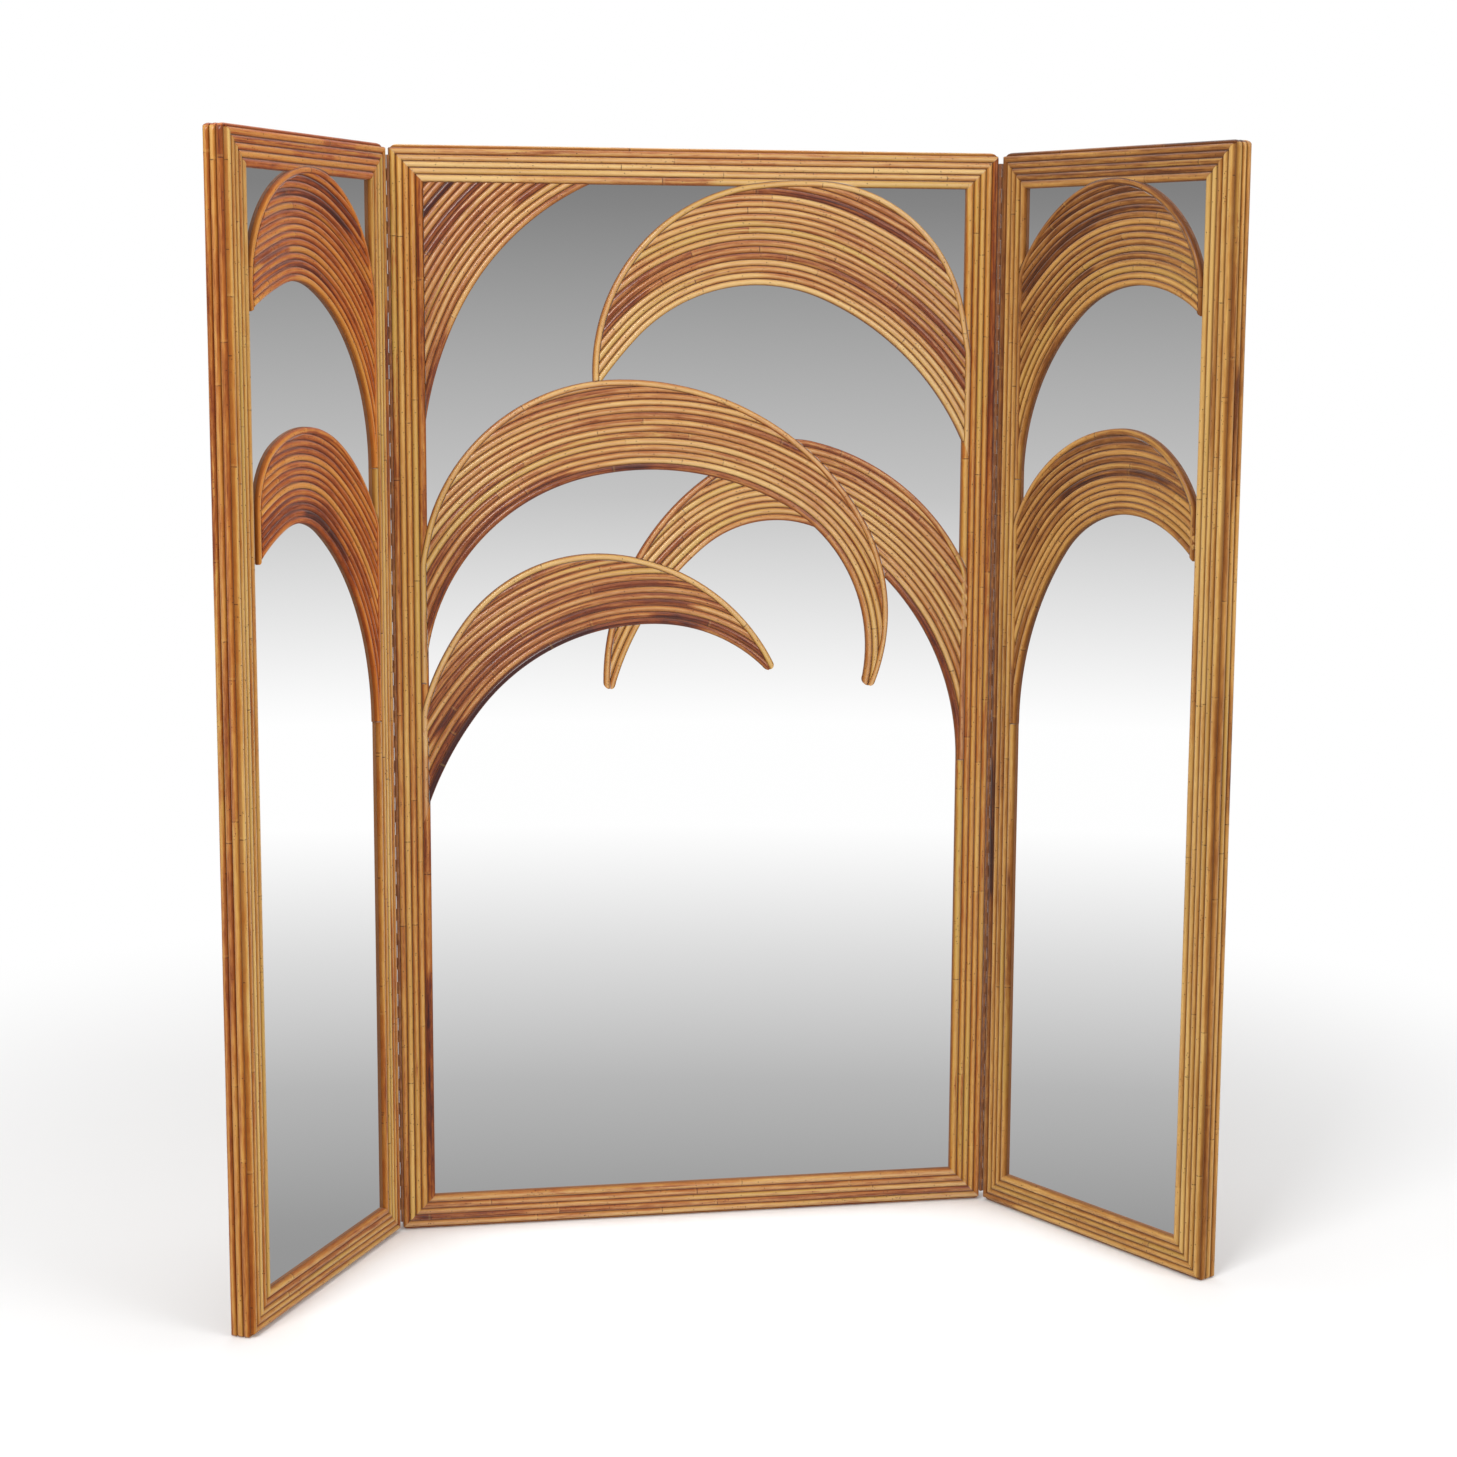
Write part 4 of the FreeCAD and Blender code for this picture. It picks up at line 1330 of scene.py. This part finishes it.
    def border_line(self, inner: EdgeCurve, outer: EdgeCurve) -> CaneLine:
        """Line of the border cane: inside the outer edge and, from a stile end, along its tangent, then down.

        The line is sampled evenly and averaged over a short stretch, which rounds the bends where it turns
        down.

        Args:
            inner, outer: both edges.

        Returns:
            The line, with its length as its steps.
        """
        half = self.panel.sizes.leaf_pitch / 2
        spare = [0.0 if close is LeafEnd.STILE else self.spare_angle for close, _, _ in self.ends()]
        angles = np.linspace(outer.end(True) - spare[0], outer.end(False) + spare[1], self.samples)
        path = np.stack(outer.place(angles, -half), -1)
        for close, near, side in self.ends():
            if close is LeafEnd.STILE:
                turn = 1 if near else -1
                path = self._run_down(path[::turn], side + turn * half, inner, near)[::turn]
        length = np.concatenate([[0], np.cumsum(np.hypot(*np.diff(path, axis=0).T))])
        even = np.linspace(0, length[-1], int(length[-1] / self.step) + 2)
        centre = np.stack([np.interp(even, length, path[:, i]) for i in (0, 1)], -1)
        window = self.bend_window
        padded = np.pad(centre, ((window // 2, window // 2), (0, 0)), "edge")
        mean = np.full(window, 1 / window)
        smooth = np.stack([np.convolve(padded[:, i], mean, "valid") for i in (0, 1)], -1)
        slope = np.gradient(smooth, axis=0)
        slope /= np.linalg.norm(slope, axis=1)[:, None]

        def place(way: Array, aside: Array) -> tuple[Array, Array]:
            """Place at a way along the line and a distance sideways."""
            x, z, run_x, run_z = (np.interp(way, even, v) for v in (*smooth.T, *slope.T))
            return x - aside * run_z, z + aside * run_x
        return CaneLine(place, even, even)

    def _run_down(self, path: Array, limit: float, inner: EdgeCurve, near: bool) -> Array:
        """Carries the start of a path on to an upright line and down it to below the end of the inner edge.

        Args:
            path: points that start at this end.
            limit: distance of the upright line from the near sight line.
            inner: the inner edge.
            near: which end.

        Returns:
            The longer path.
        """
        sign = 1 if near else -1
        path = path[np.argmax((path[:, 0] - limit) * sign > 0):]
        bottom = inner.end_place(near)[1] - self.spare_drop
        ahead = unit(path[0] - path[1])
        run = (path[0, 0] - limit) * sign / max(-ahead[0] * sign, self.least_slope)
        corner = path[0] + ahead * min(run, self.straight_share * (path[0, 1] - bottom))
        down = np.linspace([corner[0], bottom], corner, self.run_samples[0])
        slant = np.linspace(corner, path[0], self.run_samples[1])[1:-1]
        return np.concatenate([down, slant, path])

    def dress(self, nails: Nails, random: Random, material: Material) -> Object:
        """Makes the leaf's canes in place of its node.

        Args:
            nails: collects the nail heads of the panel.
            random: seeded source of unevenness.
            material: the panel's rattan.

        Returns:
            The object.
        """
        sizes = self.panel.sizes
        radius = (sizes.leaf_pitch - sizes.leaf_gap) / 2
        piece = Piece(f"{self.name}_rattan")
        maker = CaneMaker(piece, nails, random, radius, sizes.leaf_rise - radius, sizes.leaf_rise)
        outward = self.panel.direction(0.0, 1.0, 0.0)
        inner = EdgeCurve(self.inner, self.width)
        outer = None if self.outer is None else EdgeCurve(self.outer, self.width)

        def whole(across: Array, height: Array) -> Array:
            """Signed distance into the part of the leaf that no other leaf hides."""
            return np.minimum.reduce([self.inside(across, height),
                                      *(-front.inside(across, height) for front in self.behind)])

        def room(across: Array, height: Array) -> Array:
            """Signed distance into the part that the rows may fill, which leaves the border its width.

            Args:
                across, height: places from the near and top sight lines.

            Returns:
                Distances, positive inside.
            """
            depth = whole(across, height)
            if outer is None:
                return depth
            return np.minimum(depth, self._outer_depth(outer, across, height) - sizes.leaf_pitch)

        for row in range(int(self.filled_share * self.width / sizes.leaf_pitch)):
            line = self.line(inner, (row + 0.5) * sizes.leaf_pitch)
            before = piece.count
            marks = [stain for stain in self.stains if stain.row == row]
            tone = self.tone(row) + random.normal(0, self.tone_spread)
            maker.lay(line, room, tone, outward, self._to_row(line.place), marks)
            if piece.count == before:
                break
        if outer is not None:
            border = self.border_line(inner, outer)
            maker.lay(border, whole, self.border_tone, outward, self._to_row(border.place))
        made = piece.build(material)
        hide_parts(f"{self.name}_canes")
        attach(made, self.panel.body)
        return made

    def _to_row(self, place: Callable[[Array, Array], tuple[Array, Array]]) -> ToRow:
        """Puts the canes of one line into the row frame.

        Args:
            place: places of the line from steps and distances sideways.

        Returns:
            The function from steps, distances sideways and heights to row-frame points.
        """
        def to_row(step: Array, aside: Array, height: Array) -> Array:
            """Row-frame points of a cane on its line."""
            x, z = self.on_panel(*place(np.broadcast_to(step, aside.shape), aside))
            return self.panel.to_row(x, height, z)
        return to_row


@dataclass
class FrameMember:
    """The canes of one side of a frame: rows on its face, mitred at both ends, and rows on its outer edge.

    The outermost face cane at a hinge is darkened by painted shade where the panels meet, and the edge canes
    are darker by edge_tone.
    """
    panel: Panel
    side: Side
    tone: float
    leaves: tuple[PalmLeaf, ...]
    step: float = 0.0015
    mitre_gap: float = 0.00015
    corner_share: float = 0.02
    overrun: float = 0.001
    hinge_shade: float = 0.2
    face_spread: float = 0.1
    edge_tone: float = 0.13
    edge_spread: float = 0.08

    @property
    def half_run(self) -> float:
        """Half the length of the sight edge on this side."""
        return self._halves[0 if self.side in (Side.TOP, Side.BOTTOM) else 1]

    @property
    def _halves(self) -> tuple[float, float]:
        """Half the width and half the height of the sight opening."""
        panel, sizes = self.panel, self.panel.sizes
        return (panel.sight_high - panel.sight_low) / 2, (sizes.sight_top - sizes.sight_bottom) / 2

    @property
    def origin(self) -> tuple[float, float]:
        """Middle of the sight edge on this side.

        Returns:
            Its place in the panel's plane.
        """
        panel, sizes = self.panel, self.panel.sizes
        (out_x, out_z), half = self.side.value[1], self._halves
        return ((panel.sight_low + panel.sight_high) / 2 + out_x * half[0],
                (sizes.sight_top + sizes.sight_bottom) / 2 + out_z * half[1])

    def on_panel(self, along: Array, out: Array) -> tuple[Array, Array]:
        """Panel places of distances along the side and outwards from its sight edge.

        Args:
            along: distances from the middle of the side.
            out: distances outwards.

        Returns:
            Places in the panel's plane.
        """
        (run_x, run_z), (out_x, out_z) = self.side.value
        start = self.origin
        return start[0] + run_x * along + out_x * out, start[1] + run_z * along + out_z * out

    def _line(self, reach: float, start: float) -> CaneLine:
        """Straight line along the side.

        Args:
            reach: how far it goes each way from the middle.
            start: its distance outwards.

        Returns:
            The line, with distances along the side as its steps.
        """
        def place(along: Array, aside: Array) -> tuple[Array, Array]:
            """Place along the side and beside the start."""
            return np.broadcast_arrays(along, start + aside)
        steps = np.linspace(-reach, reach, int(2 * reach / self.step))
        return CaneLine(place, steps, steps - steps[0])

    def face_row(self, maker: CaneMaker, row: int, outward: Array) -> None:
        """Lays one row on the face: a straight cane mitred at both ends and cut away for the leaves on it.

        Args:
            maker: lays the canes.
            row: number of the row from the sight edge.
            outward: direction of its crown.
        """
        shares = self.panel.sizes.row_shares
        middle = (sum(shares[:row]) + shares[row] / 2) * self.panel.sizes.cane_pitch

        def room(along: Array, out: Array) -> Array:
            """Signed distance to the mitres and to the leaves that lie over the innermost row.

            Args:
                along, out: distances along the side and outwards.

            Returns:
                Distances, positive where the cane may be.
            """
            depth = (self.half_run + out - np.abs(along)) / math.sqrt(2) - self.mitre_gap
            if row == 0:
                places = self.on_panel(along, out)
                for leaf in self.leaves:
                    depth = np.minimum(depth, -leaf.inside(*leaf.from_panel(*places)) - self.mitre_gap)
            return depth

        def to_row(along: Array, aside: Array, height: Array) -> Array:
            """Row-frame points of the cane."""
            x, z = self.panel.rounded(*self.on_panel(along, middle + aside))
            return self.panel.to_row(x, height, z)
        tone = self.tone + maker.random.normal(0, self.face_spread)
        # painted shade: the outermost face cane beside a hinge is darker where the panels meet
        if row == len(shares) - 1 and self.side in self.panel.hinge_sides:
            tone += self.hinge_shade
        maker.lay(self._line(self.half_run + middle + maker.radius, middle), room, tone, outward, to_row)

    def edge_row(self, maker: CaneMaker, row: int, outward: Array) -> None:
        """Lays one row on the outer edge: a straight cane, mitred where the next side has edge canes too.

        Args:
            maker: lays the canes.
            row: number of the row from the front.
            outward: direction of its crown.
        """
        sizes = self.panel.sizes
        reach = self.half_run + sizes.band
        around = list(Side)
        place = around.index(self.side)
        beside = (around[(place + turn) % len(around)] for turn in (-1, 1))
        before, after = (side not in self.panel.hinge_sides for side in beside)

        def room(along: Array, aside: Array) -> Array:
            """All of the side."""
            return reach + self.overrun - np.abs(along)

        def to_row(along: Array, aside: Array, height: Array) -> Array:
            """Row-frame points of the cane, whose ends lean out with height at a mitre.

            Args:
                along, aside, height: distances along the side, across the cane and out of the timber.

            Returns:
                The points.
            """
            ends = np.clip((np.abs(along) - reach) / self.corner_share + 1, 0, 1)
            lean = np.where(along < 0, -1.0 * before, 1.0 * after)
            x, z = self.panel.rounded(*self.on_panel(along + ends * lean * height, sizes.band + height))
            return self.panel.to_row(x, -((row + 0.5) * sizes.cane_pitch + aside), np.maximum(z, 0.0))
        tone = self.tone + maker.random.normal(self.edge_tone, self.edge_spread)
        maker.lay(self._line(reach, 0.0), room, tone, outward, to_row, nailed=False)

    def dress(self, nails: Nails, random: Random, material: Material) -> Object:
        """Makes the member's canes in place of its node.

        Args:
            nails: collects the nail heads of the panel.
            random: seeded source of unevenness.
            material: the panel's rattan.

        Returns:
            The object.
        """
        panel, sizes = self.panel, self.panel.sizes
        node = panel.node(self.side)
        piece = Piece(node.replace("_canes", "_rattan"))
        outermost = len(sizes.row_shares) - 1
        for row, share in enumerate(sizes.row_shares):
            wide = (sizes.cane_pitch * share - sizes.cane_gap) / 2
            maker = CaneMaker(piece, nails, random, wide, sizes.cane_rise - wide, sizes.cane_rise,
                              sizes.top_corner if row == outermost else 0.0)
            self.face_row(maker, row, panel.direction(0.0, 1.0, 0.0))
        rise = panel.rise(self.side)
        if rise > 0:
            out_x, out_z = self.side.value[1]
            radius = (sizes.cane_pitch - sizes.cane_gap) / 2
            edge = CaneMaker(piece, nails, random, radius, sizes.edge_rise - radius, rise, sizes.top_corner)
            for row in range(sizes.edge_canes):
                self.edge_row(edge, row, panel.direction(float(out_x), 0.0, float(out_z)))
        made = piece.build(material)
        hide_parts(node)
        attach(made, panel.body)
        return made


@dataclass
class Carcass:
    """Timbers, mirrors, boards, leaf backings and hardware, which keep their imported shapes."""
    nodes: Mapping[str, Object]
    fold: float = ScreenSizes.fold
    upright: TimberFinish = TimberFinish("timber_upright", srgb(150, 96, 48), srgb(88, 48, 20), Grain.UPRIGHT)
    plywood: TimberFinish = TimberFinish("plywood", srgb(136, 82, 38), srgb(78, 42, 18), Grain.UPRIGHT)
    board: HardboardFinish = HardboardFinish()
    glass: MirrorFinish = MirrorFinish()
    steel: MetalFinish = MetalFinish("zinc_steel", srgb(186, 186, 182), srgb(120, 112, 100), 0.15)
    brass: MetalFinish = MetalFinish("old_brass", srgb(150, 94, 42), srgb(112, 62, 26), 0.32, 0.2)

    def dress(self) -> None:
        """Gives each shown node the material of what it is, by the last words of its name."""
        across = replace(self.upright, grain=Grain.ACROSS)
        turned = {f"{side}_{end}_rail": replace(across, name=f"timber_across_{side}", turn=turn)
                  for side, turn in (("centre", 0.0), ("left", self.fold), ("right", -self.fold))
                  for end in ("top", "bottom")}
        hinge = dict.fromkeys(("hinge_screws", "fixed_leaf", "moving_leaf", "pin"), self.brass)
        finishes = {**turned, "stile": self.upright, "backing": self.plywood, "back_board": self.board,
                    "mirror": self.glass, "back_screws": self.steel, **hinge}
        materials = {finish: finish.material() for finish in dict.fromkeys(finishes.values())}
        for name, node in self.nodes.items():
            for ending, finish in finishes.items():
                if name.endswith(ending):
                    node.data.materials.clear()
                    node.data.materials.append(materials[finish])
                    LOG.info("%s: %s", name, finish.name)


@dataclass(frozen=True)
class Lamp:
    """A square area lamp: where it hangs, what it looks at, its side and its power."""
    name: str
    place: tuple[float, float, float]
    target: tuple[float, float, float]
    size: float
    watts: float

    def build(self) -> None:
        """Adds the lamp."""
        light = bpy.data.lights.new(self.name, "AREA")
        light.size = self.size
        light.energy = self.watts
        made = bpy.data.objects.new(self.name, light)
        toward = unit(np.array(self.place, float) - np.array(self.target, float))
        side = unit(np.cross([0, 0, 1], toward))
        made.matrix_world = placed([side, np.cross(toward, side), toward], self.place)
        bpy.context.scene.collection.objects.link(made)


@dataclass
class Studio:
    """White floor and background, soft lamps, and the camera of the photograph.

    wall holds shares of the way from straight down to straight up, and the greys that the mirrors show there.
    """
    place: tuple[float, float, float] = (-0.6763, -4.2752, 1.5408)
    yaw: float = 0.17138
    pitch: float = -0.14516
    roll: float = 0.005086
    focal_pixels: float = 2605.4
    middle: tuple[float, float] = (733.7, 691.0)
    sensor: float = 36.0
    floor_half: float = 14.0
    floor_fade: tuple[float, float] = (0.9, 2.4)
    floor_grey: float = 0.96
    floor_rough: float = 0.9
    floor_specular: float = 0.1
    soft_light: float = 0.5
    wall_light: float = 1.06
    wall: tuple[tuple[float, float], ...] = (
        (0.08, 0.75), (0.2, 0.5), (0.3, 0.28), (0.3301, 0.31), (0.3553, 0.47), (0.3798, 0.73), (0.4022, 1.0),
        (0.4225, 1.0), (0.4652, 0.55), (0.5226, 0.215), (0.552, 0.2), (0.65, 0.7), (0.755, 1.15), (1.0, 1.3))
    lamps: tuple[Lamp, ...] = (Lamp("key", (-2.6, -3.6, 4.2), (0, 0, 1.0), 2.2, 165),
                               Lamp("fill", (3.2, -3.4, 3.2), (0, 0, 0.9), 2.6, 80),
                               Lamp("top", (0.2, 1.0, 4.6), (0, 0, 0.8), 2.4, 40))

    def camera(self) -> None:
        """Adds the camera: its axes follow yaw, then pitch, then roll."""
        level = math.cos(self.pitch)
        forward = np.array([math.sin(self.yaw) * level, math.cos(self.yaw) * level, math.sin(self.pitch)])
        right = np.array([math.cos(self.yaw), -math.sin(self.yaw), 0.0])
        up = np.cross(right, forward)
        turned = right * math.cos(self.roll) + up * math.sin(self.roll)
        upright = up * math.cos(self.roll) - right * math.sin(self.roll)
        lens = bpy.data.cameras.new("camera")
        lens.sensor_width = self.sensor
        lens.lens = self.sensor * self.focal_pixels / PHOTO_PIXELS
        lens.shift_x = (PHOTO_PIXELS / 2 - self.middle[0]) / PHOTO_PIXELS
        lens.shift_y = (self.middle[1] - PHOTO_PIXELS / 2) / PHOTO_PIXELS
        camera = bpy.data.objects.new("camera", lens)
        camera.matrix_world = placed([turned, upright, -forward], self.place)
        bpy.context.scene.collection.objects.link(camera)
        bpy.context.scene.camera = camera

    def floor(self) -> None:
        """Adds the pale floor: a flat square that keeps the shadow and fades into the white far away."""
        half = self.floor_half
        mesh = bpy.data.meshes.new("floor")
        corners = [(x * half, y * half, 0) for x, y in ((-1, -1), (1, -1), (1, 1), (-1, 1))]
        mesh.from_pydata(corners, [], [(0, 1, 2, 3)])
        material, graph = new_material("floor_white")
        x, y, _ = graph.split(graph.place())
        fade = ((x * x + y * y) ** 0.5).step(*self.floor_fade)
        white = graph.node("ShaderNodeEmission", sockets={"Color": (1, 1, 1, 1), "Strength": 1.0})
        paint = graph.node("ShaderNodeBsdfPrincipled", sockets={
            "Base Color": (*(self.floor_grey,) * 3, 1), "Roughness": self.floor_rough,
            "Specular IOR Level": self.floor_specular})
        mixed = graph.node("ShaderNodeMixShader", sockets={0: fade, 1: paint, 2: white})
        graph.node("ShaderNodeOutputMaterial", sockets={"Surface": mixed})
        mesh.materials.append(material)
        made = bpy.data.objects.new("floor", mesh)
        bpy.context.scene.collection.objects.link(made)
        made.visible_glossy = False
        made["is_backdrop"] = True

    def world(self) -> None:
        """Makes the surroundings: white for the camera, soft light, and a graded wall for the mirrors."""
        world = bpy.data.worlds.new("world")
        bpy.context.scene.world = world
        world.use_nodes = True
        world.node_tree.nodes.clear()
        graph = Graph(world.node_tree)
        _, _, up = graph.split(graph.node("ShaderNodeTexCoord", out="Generated"))
        rays = graph.node("ShaderNodeLightPath").socket.node.outputs
        glossy, seen = (Value(graph, rays[name]) for name in ("Is Glossy Ray", "Is Camera Ray"))
        stops = [(share, (grey, grey, grey)) for share, grey in self.wall]
        wall = graph.node("ShaderNodeValToRGB", {"stops": stops}, {"Fac": (up + 1.0) / 2.0})
        plain = (1, 1, 1, 1)
        soft, mirrored, white = (
            graph.node("ShaderNodeBackground", sockets={"Color": colour, "Strength": strength})
            for colour, strength in ((plain, self.soft_light), (wall, self.wall_light), (plain, 1.0)))
        first = graph.node("ShaderNodeMixShader", sockets={0: glossy, 1: soft, 2: mirrored})
        second = graph.node("ShaderNodeMixShader", sockets={0: seen, 1: first, 2: white})
        graph.node("ShaderNodeOutputWorld", sockets={"Surface": second})

    def build(self) -> None:
        """Sets up the whole studio."""
        bpy.context.scene.view_settings.view_transform = "Standard"
        self.camera()
        self.floor()
        self.world()
        for lamp in self.lamps:
            lamp.build()
        LOG.info("studio")


@dataclass
class MirrorScreen:
    """The whole screen: three panels with their frames, leaves and nails."""
    nodes: Mapping[str, Object]
    sizes: ScreenSizes = ScreenSizes()
    iron: MetalFinish = MetalFinish("nail_iron", srgb(92, 66, 44), srgb(52, 34, 24), 0.3)
    seed: int = 41
    leaf_seed: int = 10

    def panels(self) -> tuple[Panel, Panel, Panel]:
        """The three panels, whose frames give finishes and tones for top, right, bottom and left.

        Returns:
            Centre, left and right.
        """
        sizes = self.sizes
        half = sizes.centre_width / 2
        pivot = half + sizes.hinge_half_gap
        axis_y = -(sizes.core_depth / 2 + sizes.axis_to_core)
        near, far = sizes.hinge_half_gap, sizes.hinge_half_gap + sizes.wing_width
        # each rattan finish below holds a painted highlight colour for the cane crowns and a painted shade
        # colour for the grooves
        centre = RattanFinish(
            "rattan_centre", straw=srgb(208, 170, 104), honey=srgb(188, 135, 66), amber=srgb(164, 97, 36),
            russet=srgb(118, 53, 20), plum=srgb(60, 24, 20), groove_shade=srgb(122, 56, 8),
            olive=srgb(186, 148, 66), painted_highlight=srgb(228, 202, 170), coat=0.6)
        left = RattanFinish(
            "rattan_left", straw=srgb(216, 154, 72), honey=srgb(198, 118, 38), amber=srgb(172, 82, 18),
            russet=srgb(120, 48, 12), plum=srgb(58, 22, 14), groove_shade=srgb(112, 46, 6),
            olive=srgb(188, 126, 44), painted_highlight=srgb(228, 174, 106), coat=0.15)
        right = RattanFinish(
            "rattan_right", straw=srgb(204, 162, 92), honey=srgb(180, 126, 58), amber=srgb(148, 92, 36),
            russet=srgb(104, 56, 22), plum=srgb(52, 28, 20), groove_shade=srgb(106, 56, 12),
            olive=srgb(172, 132, 58), painted_highlight=srgb(218, 182, 124), coat=0.18)
        stile = replace(centre, name="rattan_stile", straw=srgb(208, 166, 92), honey=srgb(190, 132, 54),
                        amber=srgb(166, 94, 28), painted_highlight=srgb(224, 190, 136), coat=0.3)

        def frame(finishes: Sequence[RattanFinish], *tones: float) -> dict[Side, tuple[RattanFinish, float]]:
            """Finish and tone by side."""
            return dict(zip(Side, zip(finishes, tones)))
        return (
            Panel("centre", "centre", -half, half, -sizes.core_depth / 2, (Side.LEFT, Side.RIGHT),
                  {Side.LEFT: "left_stile", Side.RIGHT: "right_stile"}, 0.0, (0.0, 0.0), centre,
                  frame((centre, stile, centre, stile), 0.32, 0.35, 0.45, 0.46), sizes),
            Panel("left", "left_wing", -far, -near, sizes.axis_to_core, (Side.RIGHT,),
                  {Side.LEFT: "outer_stile", Side.RIGHT: "hinge_stile"}, sizes.fold, (-pivot, axis_y), left,
                  frame((left, stile, stile, stile), 0.44, 0.29, 0.4, 0.36), sizes),
            Panel("right", "right_wing", near, far, sizes.axis_to_core, (Side.LEFT,),
                  {Side.LEFT: "hinge_stile", Side.RIGHT: "outer_stile"}, -sizes.fold, (pivot, axis_y), right,
                  frame((right,) * 4, 0.54, 0.2, 0.36, 0.41), sizes))

    def leaves(self, centre: Panel, left: Panel, right: Panel) -> list[PalmLeaf]:
        """The nine leaves, each behind the leaves that cover it.

        Args:
            centre, left, right: the panels.

        Returns:
            The leaves.
        """
        stile, tip, hidden = LeafEnd.STILE, LeafEnd.TIP, LeafEnd.HIDDEN
        fan = PalmLeaf(
            "corner_fan", centre, LeafEdge(0.505, -0.045, 0.495, 63, 0.655, 90, 0, 0.495, 0),
            None, hidden, hidden, ((0, 0.41),), darker=0.022,
            stains=(Stain(0, 0.0, 0.35, 0.25), Stain(9, 0.2, 0.9, 0.2), Stain(12, 0.1, 0.9, 0.3)))
        broad = PalmLeaf(
            "broad_leaf", centre, LeafEdge(0.41, 0.515, 0.51, 14, 0.385, 90, 30, 0.31, 100),
            LeafEdge(0.36, 0.35, 0.525, 3, 0.365, 78, 60, 0.355, 111), stile, tip, ((0, 0.43),),
            stains=(Stain(0, 0.1, 0.5, 0.3), Stain(1, 0.1, 0.45, 0.25), Stain(6, 0.5, 0.8, 0.2)))
        low = PalmLeaf(
            "low_leaf", centre, LeafEdge(0.41, 0.801, 0.4, 52, 0.63, 82, 3, 0.3, 44),
            LeafEdge(0.31, 0.669, 0.305, 54, 0.5, 80, 4, 0.378, 63), stile, tip, ((0, 0.53),),
            stains=(Stain(0, 0.1, 0.62, 0.6), Stain(1, 0.1, 0.35, 0.3), Stain(3, 0.3, 0.8, 0.42)))
        high = PalmLeaf(
            "high_leaf", centre, LeafEdge(0.61, 0.178, 0.31, 47, 0.79, 55, 23, 0.52, 85),
            LeafEdge(0.695, -0.012, 0.68, 8, 0.345, 98, 3, 0.29, 80), hidden, stile, ((0, 0.32), (4, 0.41)),
            stains=(Stain(4, 0.5, 1.0, 0.15), Stain(5, 0.45, 1.0, 0.18), Stain(7, 0.55, 0.9, 0.18)),
            behind=(broad,))
        far = PalmLeaf(
            "far_leaf", centre, LeafEdge(0.645, 0.61, 0.21, 40, 0.52, 73.5, 30, 0.5, 90),
            LeafEdge(0.68, 0.46, 0.15, 20, 0.465, 90.5, 13, 0.44, 80), tip, stile, ((0, 0.5), (1, 0.38)),
            0.55, stains=(Stain(0, 0.3, 0.9, 0.2),), behind=(broad, low))
        left_upper = PalmLeaf(
            "left_upper_leaf", left, LeafEdge(0.63, 0.415, 0.36, 22, 0.79, 90, 15, 1.27, 31),
            LeafEdge(0.51, -0.027, 0.515, 30, 0.555, 78, 36, 0.455, 100), stile, stile, ((0, 0.42),), 0.4,
            darker=0.02)
        left_lower = PalmLeaf(
            "left_lower_leaf", left, LeafEdge(0.645, 1.355, 0.33, 32, 0.98, 90, 20, 0.84, 36),
            LeafEdge(0.575, 0.98, 0.56, 29, 0.8, 60, 26, 0.275, 90), stile, stile, ((0, 0.52),), 0.4)
        right_upper = PalmLeaf(
            "right_upper_leaf", right, LeafEdge(0.655, 0.41, 0.5, 39, 0.92, 90, 3, 0.54, 42),
            LeafEdge(0.505, -0.027, 0.485, 31, 0.75, 62, 32, 0.53, 92), stile, stile,
            ((0, 0.46), (1, 0.38), (10, 0.64)), 0.6)
        right_lower = PalmLeaf(
            "right_lower_leaf", right, LeafEdge(0.63, 1.35, 0.455, 52, 1.27, 90, 24, 0.59, 45),
            LeafEdge(0.585, 0.995, 0.41, 3, 0.675, 64, 32, 0.485, 90), stile, stile,
            ((0, 0.36), (6, 0.58)), 0.5)
        return [fan, high, broad, far, low, left_upper, left_lower, right_upper, right_lower]

    def build(self) -> None:
        """Builds and dresses every piece of the screen."""
        panels = self.panels()
        leaves = self.leaves(*panels)
        iron = self.iron.material()
        used = dict.fromkeys(finish for panel in panels for finish, _ in panel.frame.values())
        materials = {finish: finish.material() for finish in used}
        for index, panel in enumerate(panels):
            nails = Nails(panel)
            own = tuple(leaf for leaf in leaves if leaf.panel is panel)
            over = tuple(leaf for leaf in own if leaf.outer is not None)
            for number, (side, (finish, tone)) in enumerate(panel.frame.items()):
                random = np.random.default_rng([self.seed, number, index])
                made = FrameMember(panel, side, tone, over).dress(nails, random, materials[finish])
                LOG.info("%s: %d faces", made.name, len(made.data.polygons))
            for number, leaf in enumerate(own):
                random = np.random.default_rng([self.seed, self.leaf_seed + number, index])
                made = leaf.dress(nails, random, materials[panel.leaf_finish])
                LOG.info("%s: %d faces", made.name, len(made.data.polygons))
            heads = nails.build(iron)
            LOG.info("%s: %d heads", heads.name, len(nails.heads))
        Carcass(self.nodes).dress()


def main() -> None:
    """Builds the screen on its frame, then the studio."""
    logging.basicConfig(level=logging.INFO, format="%(name)s: %(message)s")
    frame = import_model()
    MirrorScreen(frame["nodes"]).build()
    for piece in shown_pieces():
        piece.visible_glossy = False
    Studio().build()


if __name__ == "__main__":
    main()
